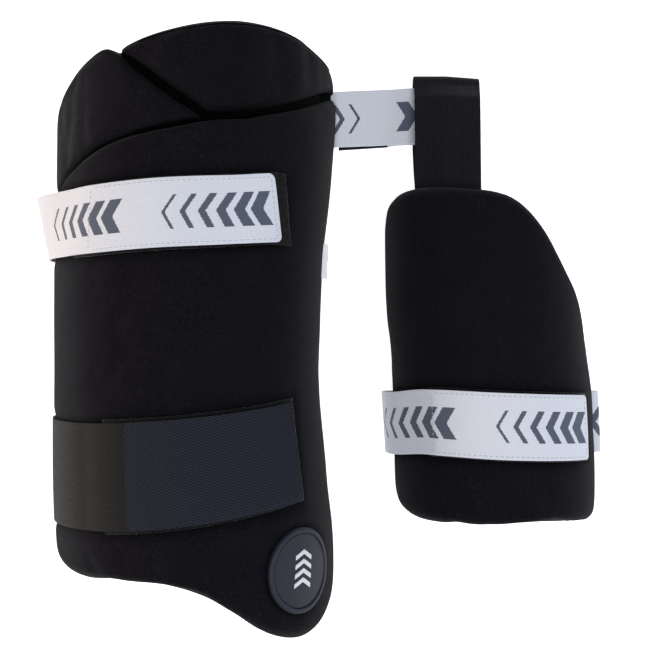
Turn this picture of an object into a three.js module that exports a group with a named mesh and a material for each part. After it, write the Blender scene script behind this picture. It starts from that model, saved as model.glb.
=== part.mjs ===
// Cricket thigh guard in two pieces, laid out face up: a long outer guard and a short inner guard.
// Each is an arch of foam under a knitted cover, held to the leg by elastic straps whose ends grip
// loop patches on the front. The waist strap of the outer guard runs through the inner guard's belt loop.
// Millimetres. X runs across the guards, Y along the leg towards the waist, Z up from the surface.

import * as THREE from 'three';
import { mergeVertices } from 'three/addons/utils/BufferGeometryUtils.js';

// Outer guard
const outerLength = 359;
const outerRadius = 87;
const outerFoam = 14;
const outerRound = 7;
const outerHalfAngle = 90;
const grooveGap = 0.6;
const grooveRound = 6;

// Inner guard
const innerLength = 206;
const innerRadius = 67;
const innerFoam = 14;
const innerRound = 7;
const innerHalfAngle = 75;
const liningHem = 1.6;

// Where the guards lie
const guardSpacing = 188;
const rimHeight = 2.4;

// Covers and fastenings
const lining = 2;
const backRound = 3;
const clear = 0.4;
const seamGap = 0.55;
const elastic = 1.4;
const loopTape = 1;
const hookTape = 1.2;
const facet = 7.5;

// Straps
const upperStrapWidth = 38.5;
const lowerStrapWidth = 63.5;
const innerStrapWidth = 39.4;
const waistStrapWidth = 36;
const patchBorder = 1.3;
const lowerPatchBorder = 2;
const hookBorder = 0.5;
const cornerRound = 4;
const footBend = 4;
const patchMargin = 1;
const patchClimb = 4;
const hookMargin = 1.5;
const hookClimb = 4.5;
const upperStandOff = 6.4;
const upperStandOffTilt = 8.8;
const innerStandOff = 2.4;
const innerStandOffTilt = 1.2;
const slideRun = 32;

// Fold of the inner guard's strap at the rim where it is sewn
const innerHemReach = 4.6;
const innerHemHeight = 5.6;
const innerHemEnd = 3.5;
const innerHemTuck = 4;

// Waist strap and belt loop
const waistLayerGap = 1.9;
const waistEndGap = 2.5;
const waistRampRun = 7;
const waistEndRun = 1;
const waistFoldInLoop = 32;
const waistSkew = 1.6;
const beltSetOff = 46;
const beltLoopWidth = 42;
const beltLoopReach = 165.5;
const beltFoldBend = 5.7;
const beltWebbing = 1.4;
const beltEndsGap = 2.2;
const beltRightDrop = 3.2;
const beltFlatRun = 30;
const beltRiseRun = 14;

// Badge and side label
const badgeDiameter = 50;
const badgeHeight = 2.6;
const badgeRim = 2.2;
const badgeRelief = 0.8;
const badgeRimSlope = 0.6;
const badgeChamfer = 0.7;
const labelLength = 22;
const labelDrop = 13;
const labelThickness = 0.8;
const labelStandOff = 2.8;

const radians = THREE.MathUtils.degToRad;

// Rows of numbers under named columns
function table(columns, ...lines) {
  return lines.map((line) => Object.fromEntries(columns.map((name, k) => [name, line[k]])));
}

// A smooth function through two columns of a table, held level past its ends
function through(lines, from, to, fromScale = 1, toScale = 1) {
  const places = lines.map((line) => line[from] * fromScale);
  const values = lines.map((line) => line[to] * toScale);
  const spline = new THREE.CubicInterpolant(places, values, 1, [0]);
  const [first, last] = [places[0], places[places.length - 1]];
  return (place) => spline.evaluate(THREE.MathUtils.clamp(place, first, last))[0];
}

// An arched guard: places a point by its way round from the crest, its height up the leg and its lift
function arch({ length, radius, halfAngle, axis, sections }) {
  const shift = through(sections, 'height', 'middle', length, radius);
  const girth = through(sections, 'height', 'radius', length, radius);
  const halfArc = radius * radians(halfAngle);
  const step = radius * radians(facet);
  return {
    length,
    halfArc,
    step,
    halfAngle,
    section: (y) => ({ middle: shift(y), radius: girth(y), axis }),
    place(side, y, lift) {
      const angle = side / radius;
      const reach = girth(y) + lift;
      return new THREE.Vector3(shift(y) + reach * Math.sin(angle), y, axis + reach * Math.cos(angle));
    },
  };
}

const outerSections = table(['height', 'middle', 'radius'],
  [-0.501, 0.034, 1.011],
  [-0.390, 0.034, 1.011],
  [-0.251, 0.000, 0.994],
  [-0.084, -0.026, 0.970],
  [0.000, -0.024, 0.972],
  [0.139, -0.013, 0.983],
  [0.251, 0.020, 0.996],
  [0.362, 0.037, 1.009],
  [0.493, 0.039, 1.011]);

const innerSections = table(['height', 'middle', 'radius'],
  [-0.575, 0.090, 1.006],
  [-0.398, 0.078, 1.014],
  [-0.194, 0.054, 1.012],
  [-0.078, 0.024, 1.001],
  [0.048, -0.008, 0.998],
  [0.291, -0.040, 0.985],
  [0.437, -0.040, 0.985]);

const innerAxis = elastic + 2 * clear
  - (innerRadius - innerFoam - seamGap - lining) * Math.cos(radians(innerHalfAngle));

const outer = arch({
  length: outerLength,
  radius: outerRadius,
  halfAngle: outerHalfAngle,
  axis: rimHeight,
  sections: outerSections,
});

const inner = arch({
  length: innerLength,
  radius: innerRadius,
  halfAngle: innerHalfAngle,
  axis: innerAxis,
  sections: innerSections,
});

// Edges of the outer guard, from the inside of the leg to the outside
const hipEdge = table(['side', 'height'],
  [-1.000, 0.292],
  [-0.935, 0.339],
  [-0.800, 0.379],
  [-0.622, 0.406],
  [-0.439, 0.438],
  [-0.322, 0.452],
  [-0.282, 0.446],
  [-0.234, 0.455],
  [0.051, 0.482],
  [0.230, 0.492],
  [0.534, 0.491],
  [0.644, 0.482],
  [0.907, 0.463],
  [0.970, 0.452],
  [1.000, 0.436]);

const kneeEdge = table(['side', 'height'],
  [-1.000, -0.284],
  [-0.935, -0.352],
  [-0.800, -0.383],
  [-0.600, -0.395],
  [-0.240, -0.394],
  [-0.037, -0.399],
  [0.100, -0.413],
  [0.227, -0.440],
  [0.439, -0.489],
  [0.637, -0.506],
  [0.830, -0.484],
  [0.950, -0.441],
  [1.000, -0.374]);

const hipGroove = table(['side', 'height'],
  [-1.000, 0.215],
  [-0.571, 0.266],
  [-0.344, 0.296],
  [0.100, 0.329],
  [0.318, 0.342],
  [0.527, 0.363],
  [0.779, 0.396],
  [1.000, 0.423]);

const slantGroove = table(['side', 'height'],
  [-0.282, 0.446],
  [-0.253, 0.438],
  [-0.162, 0.413],
  [-0.050, 0.383],
  [0.055, 0.357],
  [0.130, 0.335]);

// Edges of the inner guard
const innerTopEdge = table(['side', 'height'],
  [-1.000, 0.330],
  [-0.960, 0.386],
  [-0.860, 0.415],
  [-0.700, 0.428],
  [-0.110, 0.416],
  [0.050, 0.408],
  [0.190, 0.386],
  [0.380, 0.324],
  [0.655, 0.188],
  [0.850, 0.094],
  [0.950, 0.020],
  [1.000, -0.060]);

const innerFootEdge = table(['side', 'height'],
  [-1.000, -0.485],
  [-0.950, -0.529],
  [-0.860, -0.548],
  [-0.300, -0.558],
  [0.340, -0.555],
  [0.700, -0.568],
  [0.870, -0.575],
  [0.960, -0.558],
  [1.000, -0.510]);

const edge = (guard, lines) => through(lines, 'side', 'height', guard.halfArc, guard.length);

// Closed geometry from one list of points and faces, turned so that its faces point out
function solid(points, faces) {
  let volume = 0;
  for (const [a, b, c] of faces) volume += points[a].dot(points[b].clone().cross(points[c]));
  const index = volume > 0 ? faces.flat() : faces.flatMap(([a, b, c]) => [a, c, b]);
  const geometry = new THREE.BufferGeometry();
  geometry.setAttribute('position', new THREE.Float32BufferAttribute(points.flatMap((p) => p.toArray()), 3));
  geometry.setIndex(index);
  geometry.computeVertexNormals();
  return geometry;
}

// A solid between two nets of points that are joined round their border
function betweenNets(outside, inside) {
  const [columns, lines] = [outside.length, outside[0].length];
  const [lastColumn, lastLine] = [columns - 1, lines - 1];
  const at = (net, i, j) => (net * columns + i) * lines + j;
  const faces = [];
  const quad = (a, b, c, d) => faces.push([a, b, c], [a, c, d]);
  for (let i = 0; i < lastColumn; i++) {
    for (let j = 0; j < lastLine; j++) {
      quad(at(0, i, j), at(0, i + 1, j), at(0, i + 1, j + 1), at(0, i, j + 1));
      quad(at(1, i, j + 1), at(1, i + 1, j + 1), at(1, i + 1, j), at(1, i, j));
    }
    quad(at(0, i + 1, 0), at(0, i, 0), at(1, i, 0), at(1, i + 1, 0));
    quad(at(0, i, lastLine), at(0, i + 1, lastLine), at(1, i + 1, lastLine), at(1, i, lastLine));
  }
  for (let j = 0; j < lastLine; j++) {
    quad(at(0, 0, j), at(0, 0, j + 1), at(1, 0, j + 1), at(1, 0, j));
    quad(at(0, lastColumn, j + 1), at(0, lastColumn, j), at(1, lastColumn, j), at(1, lastColumn, j + 1));
  }
  return solid([...outside.flat(), ...inside.flat()], faces);
}

// How far a rounded edge of the given radius lies below the face, at a distance in from the edge
function roundDrop(distance, round) {
  if (distance >= round) return 0;
  return round - Math.sqrt(round ** 2 - (round - distance) ** 2);
}

const roundSteps = [0, 35, 62, 90].map((angle) => 1 - Math.cos(radians(angle)));

// Lines of the facet grid that cross a guard between two sides, kept clear of the ends by a margin
function facetLines(guard, from, to, margin) {
  const lines = [];
  const count = Math.round(guard.halfArc / guard.step);
  for (let k = -count; k <= count; k++) {
    const side = k * guard.step;
    if (side > from + margin && side < to - margin) lines.push(side);
  }
  return lines;
}

function distanceToEdge(side, y, border) {
  let nearest = Infinity;
  border.forEach(([sideA, yA], k) => {
    const [sideB, yB] = border[(k + 1) % border.length];
    const [run, rise] = [sideB - sideA, yB - yA];
    const share = ((side - sideA) * run + (y - yA) * rise) / (run ** 2 + rise ** 2 || 1);
    const along = THREE.MathUtils.clamp(share, 0, 1);
    nearest = Math.min(nearest, Math.hypot(side - sideA - along * run, y - yA - along * rise));
  });
  return nearest;
}

function borderOf({ from, to, low, high }) {
  const count = 90;
  const across = Array.from({ length: count + 1 }, (_, k) => from + (to - from) * k / count);
  return [...across.map((side) => [side, low(side)]), ...across.reverse().map((side) => [side, high(side)])];
}

// A foam cell: its face and back follow the arch, and its edges are rounded
function foamCell(guard, { from, to, low, high, foam, round, lines }) {
  const border = borderOf({ from, to, low, high });
  const insets = roundSteps.map((step) => step * round);
  const sides = [
    ...insets.map((inset) => from + inset),
    ...facetLines(guard, from, to, round * 1.3),
    ...insets.map((inset) => to - inset).reverse(),
  ];
  const heights = (side) => {
    const [bottom, top] = [low(side), high(side)];
    const trim = Math.min(1, 0.3 * (top - bottom) / round);
    const [start, end] = [bottom + round * trim, top - round * trim];
    return [
      ...insets.slice(0, -1).map((inset) => bottom + inset * trim),
      ...Array.from({ length: lines + 1 }, (_, k) => start + (end - start) * k / lines),
      ...insets.slice(0, -1).map((inset) => top - inset * trim).reverse(),
    ];
  };
  const net = (depth) => sides.map((side) => heights(side).map((y) => (
    guard.place(side, y, -depth(distanceToEdge(side, y, border))))));
  return betweenNets(
    net((distance) => roundDrop(distance, round)),
    net((distance) => foam - roundDrop(distance, backRound)));
}

// The lining that backs a guard: a sheet over its whole outline, in bands between the given edges
function backLining(guard, foam, bands, lines) {
  const sides = [-guard.halfArc, ...facetLines(guard, -guard.halfArc, guard.halfArc, 1), guard.halfArc];
  const heights = (side) => bands.slice(1).flatMap((high, band) => {
    const [bottom, top] = [bands[band](side), high(side)];
    const first = band === 0 ? 0 : 1;
    return Array.from({ length: lines[band] + 1 - first }, (_, k) => (
      bottom + (top - bottom) * (k + first) / lines[band]));
  });
  const net = (depth) => sides.map((side) => heights(side).map((y) => guard.place(side, y, -depth)));
  return betweenNets(net(foam + seamGap), net(foam + seamGap + lining));
}

// Webbing or tape from the net of points in its middle, with half its thickness to each side
function webbing(net, thickness) {
  const last = net.length - 1;
  const edgeOf = net[0].length - 1;
  const face = (sign) => net.map((line, i) => line.map((point, j) => {
    const along = net[Math.min(i + 1, last)][j].clone().sub(net[Math.max(i - 1, 0)][j]);
    const across = net[i][Math.min(j + 1, edgeOf)].clone().sub(net[i][Math.max(j - 1, 0)]);
    return point.clone().addScaledVector(along.cross(across).normalize(), sign * thickness / 2);
  }));
  return betweenNets(face(1), face(-1));
}

// Lifts of the layers of a fastening over the cover, to the middle of each
const patchLift = clear + loopTape / 2;
const hookLift = 2 * clear + loopTape + hookTape / 2;
const bareLift = clear + elastic / 2;
const overPatchLift = 2 * clear + loopTape + elastic / 2;
const overHookLift = 3 * clear + loopTape + hookTape + elastic / 2;

// Places of the lines that run along a strap, as shares of its width from its middle
const acrossShares = (segments) => Array.from({ length: segments + 1 }, (_, k) => k / segments - 0.5);

// How far a line across a strap is slid by its slanted end, dying out away from that end
const lean = (side, to, slide) => slide * THREE.MathUtils.smoothstep(side, to - slideRun, to);

// A loop patch or hook tape that lies on the front of a guard
function frontTape(guard, { from, to, slant, width, height, lift, thickness, segments }) {
  const sides = [from, ...facetLines(guard, from, to, 2), to];
  const net = sides.map((side) => acrossShares(segments).map((share) => {
    const across = share * width(side);
    return guard.place(side + lean(side, to, slant * across), height(side) + across, lift);
  }));
  return webbing(net, thickness);
}

// Points on a quarter or half turn of a strap in the plane across the leg
function turn(x, z, bend, fromAngle, toAngle, steps) {
  return Array.from({ length: steps + 1 }, (_, k) => {
    const angle = radians(fromAngle + (toAngle - fromAngle) * k / steps);
    return [x + bend * Math.cos(angle), z + bend * Math.sin(angle)];
  });
}

const runHeight = elastic / 2;

// The way of a leg strap under its guard, from the foot of one rim to the end sewn at the other
function underWay(guard, y, standOff, foam, sewnOutside) {
  const { middle, radius, axis } = guard.section(y);
  const rim = radians(guard.halfAngle);
  const left = middle - (radius + bareLift + standOff) * Math.sin(rim);
  const foot = turn(left + footBend, runHeight + footBend, footBend, 180, 270, 3);
  if (sewnOutside) {
    const bend = (innerHemHeight - runHeight) / 2;
    const right = middle + radius * Math.sin(rim) + innerHemReach;
    const fold = turn(right - bend, runHeight + bend, bend, -90, 90, 4);
    return [...foot, ...fold, [right - innerHemReach - innerHemTuck, innerHemEnd]];
  }
  const reach = radius - foam - seamGap - lining - clear - elastic / 2;
  const rise = turn(middle + reach - footBend, runHeight + footBend, footBend, 270, 360, 3);
  const wall = [1, 2, 3].map((k) => {
    const angle = rim - k * radians(facet);
    return [middle + reach * Math.sin(angle), axis + reach * Math.cos(angle)];
  });
  return [...foot, ...rise, ...wall];
}

// The width of a strap on the front of its guard, which may taper to its end, and of tapes along it
function widthOf(guard, { tip, width, taper = 0 }, extra = 0) {
  const front = tip + guard.halfArc;
  const wayOf = (side) => Math.min(Math.max((side + guard.halfArc) / front, 0), 1);
  return (side) => width * (1 - taper * wayOf(side)) + extra;
}

// An elastic leg strap: front end, over the crest, round the rim, under the guard to its sewn end
function legStrap(guard, strap) {
  const { tip, slant, height, hookStart, patchStart, foam, sewnOutside, segments } = strap;
  const width = widthOf(guard, strap);
  const standOffAt = strap.standOff ?? (() => 0);
  const [onPatch, onHook] = [patchStart - patchMargin, hookStart - hookMargin];
  const keys = [onPatch - patchClimb, onPatch, onHook - hookClimb, onHook];
  const lift = through(table(['side', 'lift'],
    [-guard.halfArc, bareLift],
    [keys[0], bareLift],
    [keys[1], overPatchLift],
    [keys[2], overPatchLift],
    [keys[3], overHookLift],
    [tip, overHookLift]), 'side', 'lift');
  const straightLift = (side) => Math.min(Math.max(lift(side), bareLift), overHookLift);
  const corners = [0, 30, 60, 90].map((angle) => ({
    back: cornerRound * (1 - Math.cos(radians(angle))),
    trim: cornerRound * (1 - Math.sin(radians(angle))),
  }));
  const start = -guard.halfArc + guard.step / 2;
  const lines = facetLines(guard, start, tip - cornerRound, 1.5)
    .filter((side) => keys.every((key) => Math.abs(key - side) > 1.5));
  const sides = [...lines, ...keys].sort((a, b) => b - a);
  const front = [
    ...corners.map(({ back, trim }) => ({ side: tip - back, trim })),
    ...sides.map((side) => ({ side, trim: 0 })),
  ].map(({ side, trim }) => acrossShares(segments).map((share) => {
    const y = height(side) + share * (width(side) - 2 * trim);
    const across = side + lean(side, tip, slant * share * width(side));
    return guard.place(across, y, straightLift(side) + standOffAt(side, share));
  }));
  const endHeight = height(-guard.halfArc);
  const under = acrossShares(segments).map((share) => {
    const y = endHeight + share * strap.width;
    return underWay(guard, y, standOffAt(-guard.halfArc, share), foam, sewnOutside)
      .map(([x, z]) => new THREE.Vector3(x, y, z));
  });
  const back = under[0].map((_, k) => under.map((line) => line[k]));
  return webbing([...front, ...back], elastic);
}

// A place round a guard as a share of the way from its crest to its rim
const sideAt = (guard, part) => part * guard.halfArc;

// Outer guard: three foam cells whose rounded edges make the grooves
const hip = edge(outer, hipEdge);
const knee = edge(outer, kneeEdge);
const lip = edge(outer, hipGroove);
const slantLine = edge(outer, slantGroove);
const slantTop = sideAt(outer, slantGroove[0].side);
const slantFoot = sideAt(outer, slantGroove[slantGroove.length - 1].side);
const slantGap = 0.65 * grooveGap;
const wedgeTipMargin = 3;
const domeTipMargin = 4.2;

function thighPad() {
  return foamCell(outer, {
    from: -outer.halfArc,
    to: outer.halfArc,
    low: knee,
    high: (side) => lip(side) - grooveGap / 2,
    foam: outerFoam,
    round: outerRound,
    lines: 12,
  });
}

function hipWedgePad() {
  return foamCell(outer, {
    from: -outer.halfArc,
    to: slantFoot - wedgeTipMargin,
    low: (side) => lip(side) + grooveGap / 2,
    high: (side) => (side < slantTop ? hip(side) : slantLine(side) - slantGap),
    foam: outerFoam,
    round: grooveRound,
    lines: 3,
  });
}

function hipDomePad() {
  return foamCell(outer, {
    from: slantTop + domeTipMargin,
    to: outer.halfArc,
    low: (side) => (side < slantFoot ? slantLine(side) + slantGap : lip(side) + grooveGap / 2),
    high: hip,
    foam: outerFoam,
    round: grooveRound,
    lines: 4,
  });
}

// Inner guard
const innerTop = edge(inner, innerTopEdge);
const innerFoot = edge(inner, innerFootEdge);

function innerPad() {
  return foamCell(inner, {
    from: -inner.halfArc,
    to: inner.halfArc,
    low: innerFoot,
    high: innerTop,
    foam: innerFoam,
    round: innerRound,
    lines: 7,
  });
}

function innerLining() {
  return backLining(inner, innerFoam, [(side) => innerFoot(side) - liningHem, innerTop], [9]);
}

// Straps of the outer guard
const upperWay = table(['side', 'height'],
  [-1.000, 0.180],
  [-0.360, 0.179],
  [-0.050, 0.185],
  [0.215, 0.191],
  [0.444, 0.200]);

const lowerWay = table(['side', 'height'],
  [-1.000, -0.236],
  [-0.450, -0.231],
  [-0.186, -0.2245],
  [0.050, -0.2165],
  [0.300, -0.206],
  [0.560, -0.194]);

const innerWay = table(['side', 'height'],
  [-1.000, -0.279],
  [-0.850, -0.277],
  [-0.550, -0.263],
  [0.000, -0.268],
  [0.720, -0.283]);

const standOffWay = table(['side', 'share'],
  [-1.000, 1.00],
  [-0.820, 0.96],
  [-0.650, 0.42],
  [-0.480, 0.00],
  [1.000, 0.00]);

// How far a strap stands off its guard near the rim, more at its upper edge than at its lower
function standOffOf(guard, standOff, tilt) {
  const shareAt = through(standOffWay, 'side', 'share', guard.halfArc);
  return (side, across) => Math.max(0, shareAt(side)) * (standOff + tilt * across);
}

const upperStrapSpec = {
  tip: sideAt(outer, 0.444),
  slant: -0.25,
  width: upperStrapWidth,
  height: edge(outer, upperWay),
  hookStart: sideAt(outer, -0.345),
  patchStart: sideAt(outer, -0.480),
  patchEnd: sideAt(outer, 0.520),
  border: patchBorder,
  foam: outerFoam,
  segments: 3,
  standOff: standOffOf(outer, upperStandOff, upperStandOffTilt),
};

const lowerStrapSpec = {
  tip: sideAt(outer, 0.562),
  slant: -0.067,
  width: lowerStrapWidth,
  taper: 0.1,
  height: edge(outer, lowerWay),
  hookStart: sideAt(outer, -0.170),
  patchStart: sideAt(outer, -0.300),
  patchEnd: sideAt(outer, 0.600),
  border: lowerPatchBorder,
  foam: outerFoam,
  segments: 3,
};

const innerStrapSpec = {
  tip: sideAt(inner, 0.630),
  slant: 0,
  width: innerStrapWidth,
  height: edge(inner, innerWay),
  hookStart: sideAt(inner, -0.430),
  patchStart: sideAt(inner, -0.520),
  patchEnd: sideAt(inner, 0.700),
  border: patchBorder,
  foam: innerFoam,
  segments: 2,
  sewnOutside: true,
  standOff: standOffOf(inner, innerStandOff, innerStandOffTilt),
};

function loopPatch(guard, strap) {
  return frontTape(guard, {
    from: strap.patchStart,
    to: strap.patchEnd,
    slant: strap.slant,
    width: widthOf(guard, strap, 2 * strap.border),
    height: strap.height,
    lift: patchLift,
    thickness: loopTape,
    segments: strap.segments,
  });
}

function hookStrip(guard, strap) {
  return frontTape(guard, {
    from: strap.hookStart,
    to: strap.tip - cornerRound / 2,
    slant: strap.slant,
    width: widthOf(guard, strap, -2 * hookBorder),
    height: strap.height,
    lift: hookLift,
    thickness: hookTape,
    segments: strap.segments,
  });
}

// Waist strap: sewn inside the outer guard, out under its rim, round inside the belt loop and back
const waistHeight = 0.3845 * outerLength;
const waistRise = 0.04;

const waistSection = outer.section(waistHeight);
const waistRim = waistSection.middle + waistSection.radius;
const waistTopLow = elastic + 2 * clear + hookTape + elastic / 2;
const waistInLoop = beltWebbing + clear + elastic / 2;
const waistTopHigh = waistInLoop + elastic + waistLayerGap;
const beltLeft = guardSpacing - beltSetOff;
const waistSpan = beltLeft - waistRim;
const waistTapeLength = 0.628 * waistSpan;

function waistStrap() {
  const reach = waistSection.radius - outerFoam - seamGap - lining - clear - elastic / 2;
  const wall = [3, 2, 1].map((k) => {
    const angle = radians(k * facet - outerHalfAngle);
    return [waistSection.middle + reach * Math.sin(angle), waistSection.axis + reach * Math.cos(angle)];
  });
  const foot = turn(waistSection.middle - reach + footBend, runHeight + footBend, footBend, 180, 270, 3);
  const bend = (waistTopHigh - waistInLoop) / 2;
  const fold = turn(beltLeft + waistFoldInLoop, waistInLoop + bend, bend, 90, -90, 4);
  const top = [
    ...wall,
    ...foot,
    [waistRim - waistRampRun, runHeight],
    [waistRim + waistEndGap - waistEndRun, waistTopLow + clear],
    [waistRim + waistEndGap + waistTapeLength, waistTopLow + clear],
    [beltLeft - 0.04 * waistSpan, waistTopHigh],
    ...fold,
    [beltLeft - 0.08 * waistSpan, waistInLoop],
    [beltLeft - 0.26 * waistSpan, runHeight],
    [waistRim + waistEndGap + waistTapeLength, runHeight],
    [waistRim + waistEndGap, runHeight],
  ];
  const count = top.length;
  const net = top.map(([x, z], k) => [-0.5, 0.5].map((share) => {
    const returns = k >= count - 2 ? waistSkew * (k - count + 3) / 2 : 0;
    const y = waistHeight + (x - waistRim) * waistRise - returns + share * waistStrapWidth;
    return new THREE.Vector3(x, y, z);
  }));
  return webbing(net, elastic);
}

function waistHookTape() {
  const z = elastic + clear + hookTape / 2;
  const net = [0, waistTapeLength].map((run, k) => [-0.5, 0.5].map((share) => {
    const x = waistRim + waistEndGap + run;
    const y = waistHeight + (x - waistRim) * waistRise - waistSkew * (1 - k / 2) + share * waistStrapWidth;
    return new THREE.Vector3(x, y, z);
  }));
  return webbing(net, hookTape);
}

// Belt loop: both ends sewn into the top seam of the inner guard, folded round the waist strap
const beltColumns = 4;
const beltBaseLeft = 0.336 * innerRadius;
const beltBaseRight = 0.552 * innerRadius;
const beltRiseShare = 0.45;
const beltNarrowing = 0.07;
const beltSlope = table(['out', 'height'],
  [0.00, 1.00],
  [0.30, 0.80],
  [0.62, 0.62],
  [0.86, 0.40]);

function beltLoop() {
  const left = beltLeft - guardSpacing;
  const columns = Array.from({ length: beltColumns + 1 }, (_, k) => k / beltColumns);
  const foldY = beltLoopReach - beltFoldBend - beltWebbing / 2;
  const net = columns.map((part) => {
    const drop = beltRightDrop * Math.max(0, part - 0.5);
    const x = left + part * beltLoopWidth * (1 - beltNarrowing);
    const base = beltBaseLeft + (beltBaseRight - beltBaseLeft) * Math.sin(part * Math.PI / 2);
    const seam = 2 * clear + Math.max(...[innerFoam / 2, innerFoam + lining].map((depth) => {
      const turned = THREE.MathUtils.clamp(x / (innerRadius - depth), -1, 1);
      return innerTop(innerRadius * Math.asin(turned));
    }));
    const foldTop = beltWebbing / 2 + 2 * beltFoldBend;
    const way = beltSlope.map(({ out, height }) => [
      seam + (foldY - drop - seam) * out,
      foldTop + (base - foldTop) * height,
      height,
    ]);
    const fold = turn(foldY - drop, beltWebbing / 2 + beltFoldBend, beltFoldBend, 90, -90, 6);
    const back = [
      [seam + beltFlatRun, beltWebbing / 2],
      [seam + beltRiseRun, (base - beltEndsGap) * beltRiseShare],
      [seam, base - beltEndsGap, 1],
    ];
    return [...way, ...fold, ...back].map(([y, z, narrowed = 0]) => (
      new THREE.Vector3(left + part * beltLoopWidth * (1 - beltNarrowing * narrowed), y, z)));
  });
  return webbing(net, beltWebbing);
}

// Badge: a moulded rubber disc with a raised rim, bent to the guard
const badgeSide = 0.563;
const badgeUp = -0.390;

function badge() {
  const radius = badgeDiameter / 2;
  const field = badgeHeight - badgeRelief;
  const profile = table(['radius', 'lift'],
    [0, field],
    [radius * 0.5, field],
    [radius - badgeRim - badgeRimSlope, field],
    [radius - badgeRim, badgeHeight],
    [radius - badgeChamfer, badgeHeight],
    [radius, badgeHeight - badgeChamfer],
    [radius, 0],
    [radius * 0.5, 0],
    [0, 0]).map(({ radius: reach, lift }) => new THREE.Vector2(reach, lift));
  const lathe = new THREE.LatheGeometry(profile, 24);
  lathe.deleteAttribute('normal');
  lathe.deleteAttribute('uv');
  const disc = mergeVertices(lathe, 1e-3);
  const from = disc.getAttribute('position');
  const points = Array.from({ length: from.count }, (_, k) => outer.place(
    sideAt(outer, badgeSide) + from.getX(k),
    badgeUp * outerLength + from.getZ(k),
    clear + from.getY(k)));
  const index = disc.getIndex();
  const faces = Array.from({ length: index.count / 3 }, (_, k) => [0, 1, 2].map((n) => index.getX(3 * k + n)))
    .filter(([a, b, c]) => a !== b && b !== c && c !== a);
  return solid(points, faces);
}

// Side label: a blank woven tab sewn to the outside rim, standing a little off it
const labelUp = 0.127;
const labelRoot = 0.885;

function sideLabel() {
  const net = [0, 1].map((part) => [-0.5, 0.5].map((across) => {
    const y = labelUp * outerLength + across * labelLength;
    const lift = clear + labelThickness / 2 + part * labelStandOff;
    return outer.place(sideAt(outer, labelRoot) + part * labelDrop, y, lift);
  }));
  return webbing(net, labelThickness);
}

function outerLining() {
  return backLining(outer, outerFoam, [knee, lip, hip], [12, 4]);
}

// Colours and finishes
const knit = { color: 0x1b1a1d, roughness: 0.82, metalness: 0 };
const liningCloth = { color: 0x201f22, roughness: 0.9, metalness: 0 };
const whiteElastic = { color: 0xdcdce4, roughness: 0.75, metalness: 0 };
const blackElastic = { color: 0x2e3034, roughness: 0.7, metalness: 0 };
const tapeNylon = { color: 0x141416, roughness: 0.95, metalness: 0 };
const beltNylon = { color: 0x1d1e21, roughness: 0.7, metalness: 0 };
const rubber = { color: 0x2f3138, roughness: 0.55, metalness: 0 };
const labelCloth = { color: 0xe8e8ea, roughness: 0.8, metalness: 0 };

function piece(name, geometry, finish) {
  const mesh = new THREE.Mesh(geometry, new THREE.MeshStandardMaterial(finish));
  mesh.name = name;
  return mesh;
}

const outerGuard = new THREE.Group();
outerGuard.add(
  piece('thigh_pad', thighPad(), knit),
  piece('hip_wedge_pad', hipWedgePad(), knit),
  piece('hip_dome_pad', hipDomePad(), knit),
  piece('outer_lining', outerLining(), liningCloth),
  piece('upper_loop_patch', loopPatch(outer, upperStrapSpec), tapeNylon),
  piece('upper_hook_tape', hookStrip(outer, upperStrapSpec), tapeNylon),
  piece('upper_strap', legStrap(outer, upperStrapSpec), whiteElastic),
  piece('lower_loop_patch', loopPatch(outer, lowerStrapSpec), tapeNylon),
  piece('lower_hook_tape', hookStrip(outer, lowerStrapSpec), tapeNylon),
  piece('lower_strap', legStrap(outer, lowerStrapSpec), blackElastic),
  piece('badge', badge(), rubber),
  piece('side_label', sideLabel(), labelCloth),
  piece('waist_strap', waistStrap(), whiteElastic),
  piece('waist_hook_tape', waistHookTape(), tapeNylon));

const innerGuard = new THREE.Group();
innerGuard.position.x = guardSpacing;
innerGuard.add(
  piece('inner_pad', innerPad(), knit),
  piece('inner_lining', innerLining(), liningCloth),
  piece('inner_loop_patch', loopPatch(inner, innerStrapSpec), tapeNylon),
  piece('inner_hook_tape', hookStrip(inner, innerStrapSpec), tapeNylon),
  piece('inner_strap', legStrap(inner, innerStrapSpec), whiteElastic),
  piece('belt_loop', beltLoop(), beltNylon));

// The origin is on the surface, under the middle of the whole guard
const thighGuard = new THREE.Group();
thighGuard.add(outerGuard, innerGuard);
const bounds = new THREE.Box3().setFromObject(thighGuard, true);
const middle = bounds.getCenter(new THREE.Vector3());
thighGuard.position.set(-middle.x, -middle.y, -bounds.min.z);

export default thighGuard;
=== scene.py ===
# Cricket thigh guard laid out face up: a long outer guard, a short inner guard, their elastic leg
# straps and the waist strap that joins them. Metres, +Z up, +Y along the leg towards the waist.

import math

import bpy
import numpy as np
from mathutils import Matrix, Vector, noise


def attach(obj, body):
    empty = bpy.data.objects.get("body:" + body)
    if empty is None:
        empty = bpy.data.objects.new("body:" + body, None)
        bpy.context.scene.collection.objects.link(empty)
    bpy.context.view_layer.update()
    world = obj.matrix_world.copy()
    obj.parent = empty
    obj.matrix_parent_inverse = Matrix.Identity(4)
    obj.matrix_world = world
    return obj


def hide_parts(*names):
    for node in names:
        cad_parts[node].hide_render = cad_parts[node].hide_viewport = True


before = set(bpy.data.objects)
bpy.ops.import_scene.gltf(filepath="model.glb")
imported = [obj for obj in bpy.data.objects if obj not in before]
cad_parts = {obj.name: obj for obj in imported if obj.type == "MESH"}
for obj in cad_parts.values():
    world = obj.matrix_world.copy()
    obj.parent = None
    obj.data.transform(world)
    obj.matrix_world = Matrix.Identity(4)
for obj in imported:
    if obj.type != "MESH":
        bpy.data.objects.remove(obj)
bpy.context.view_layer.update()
bpy.ops.object.select_all(action="DESELECT")

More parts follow.
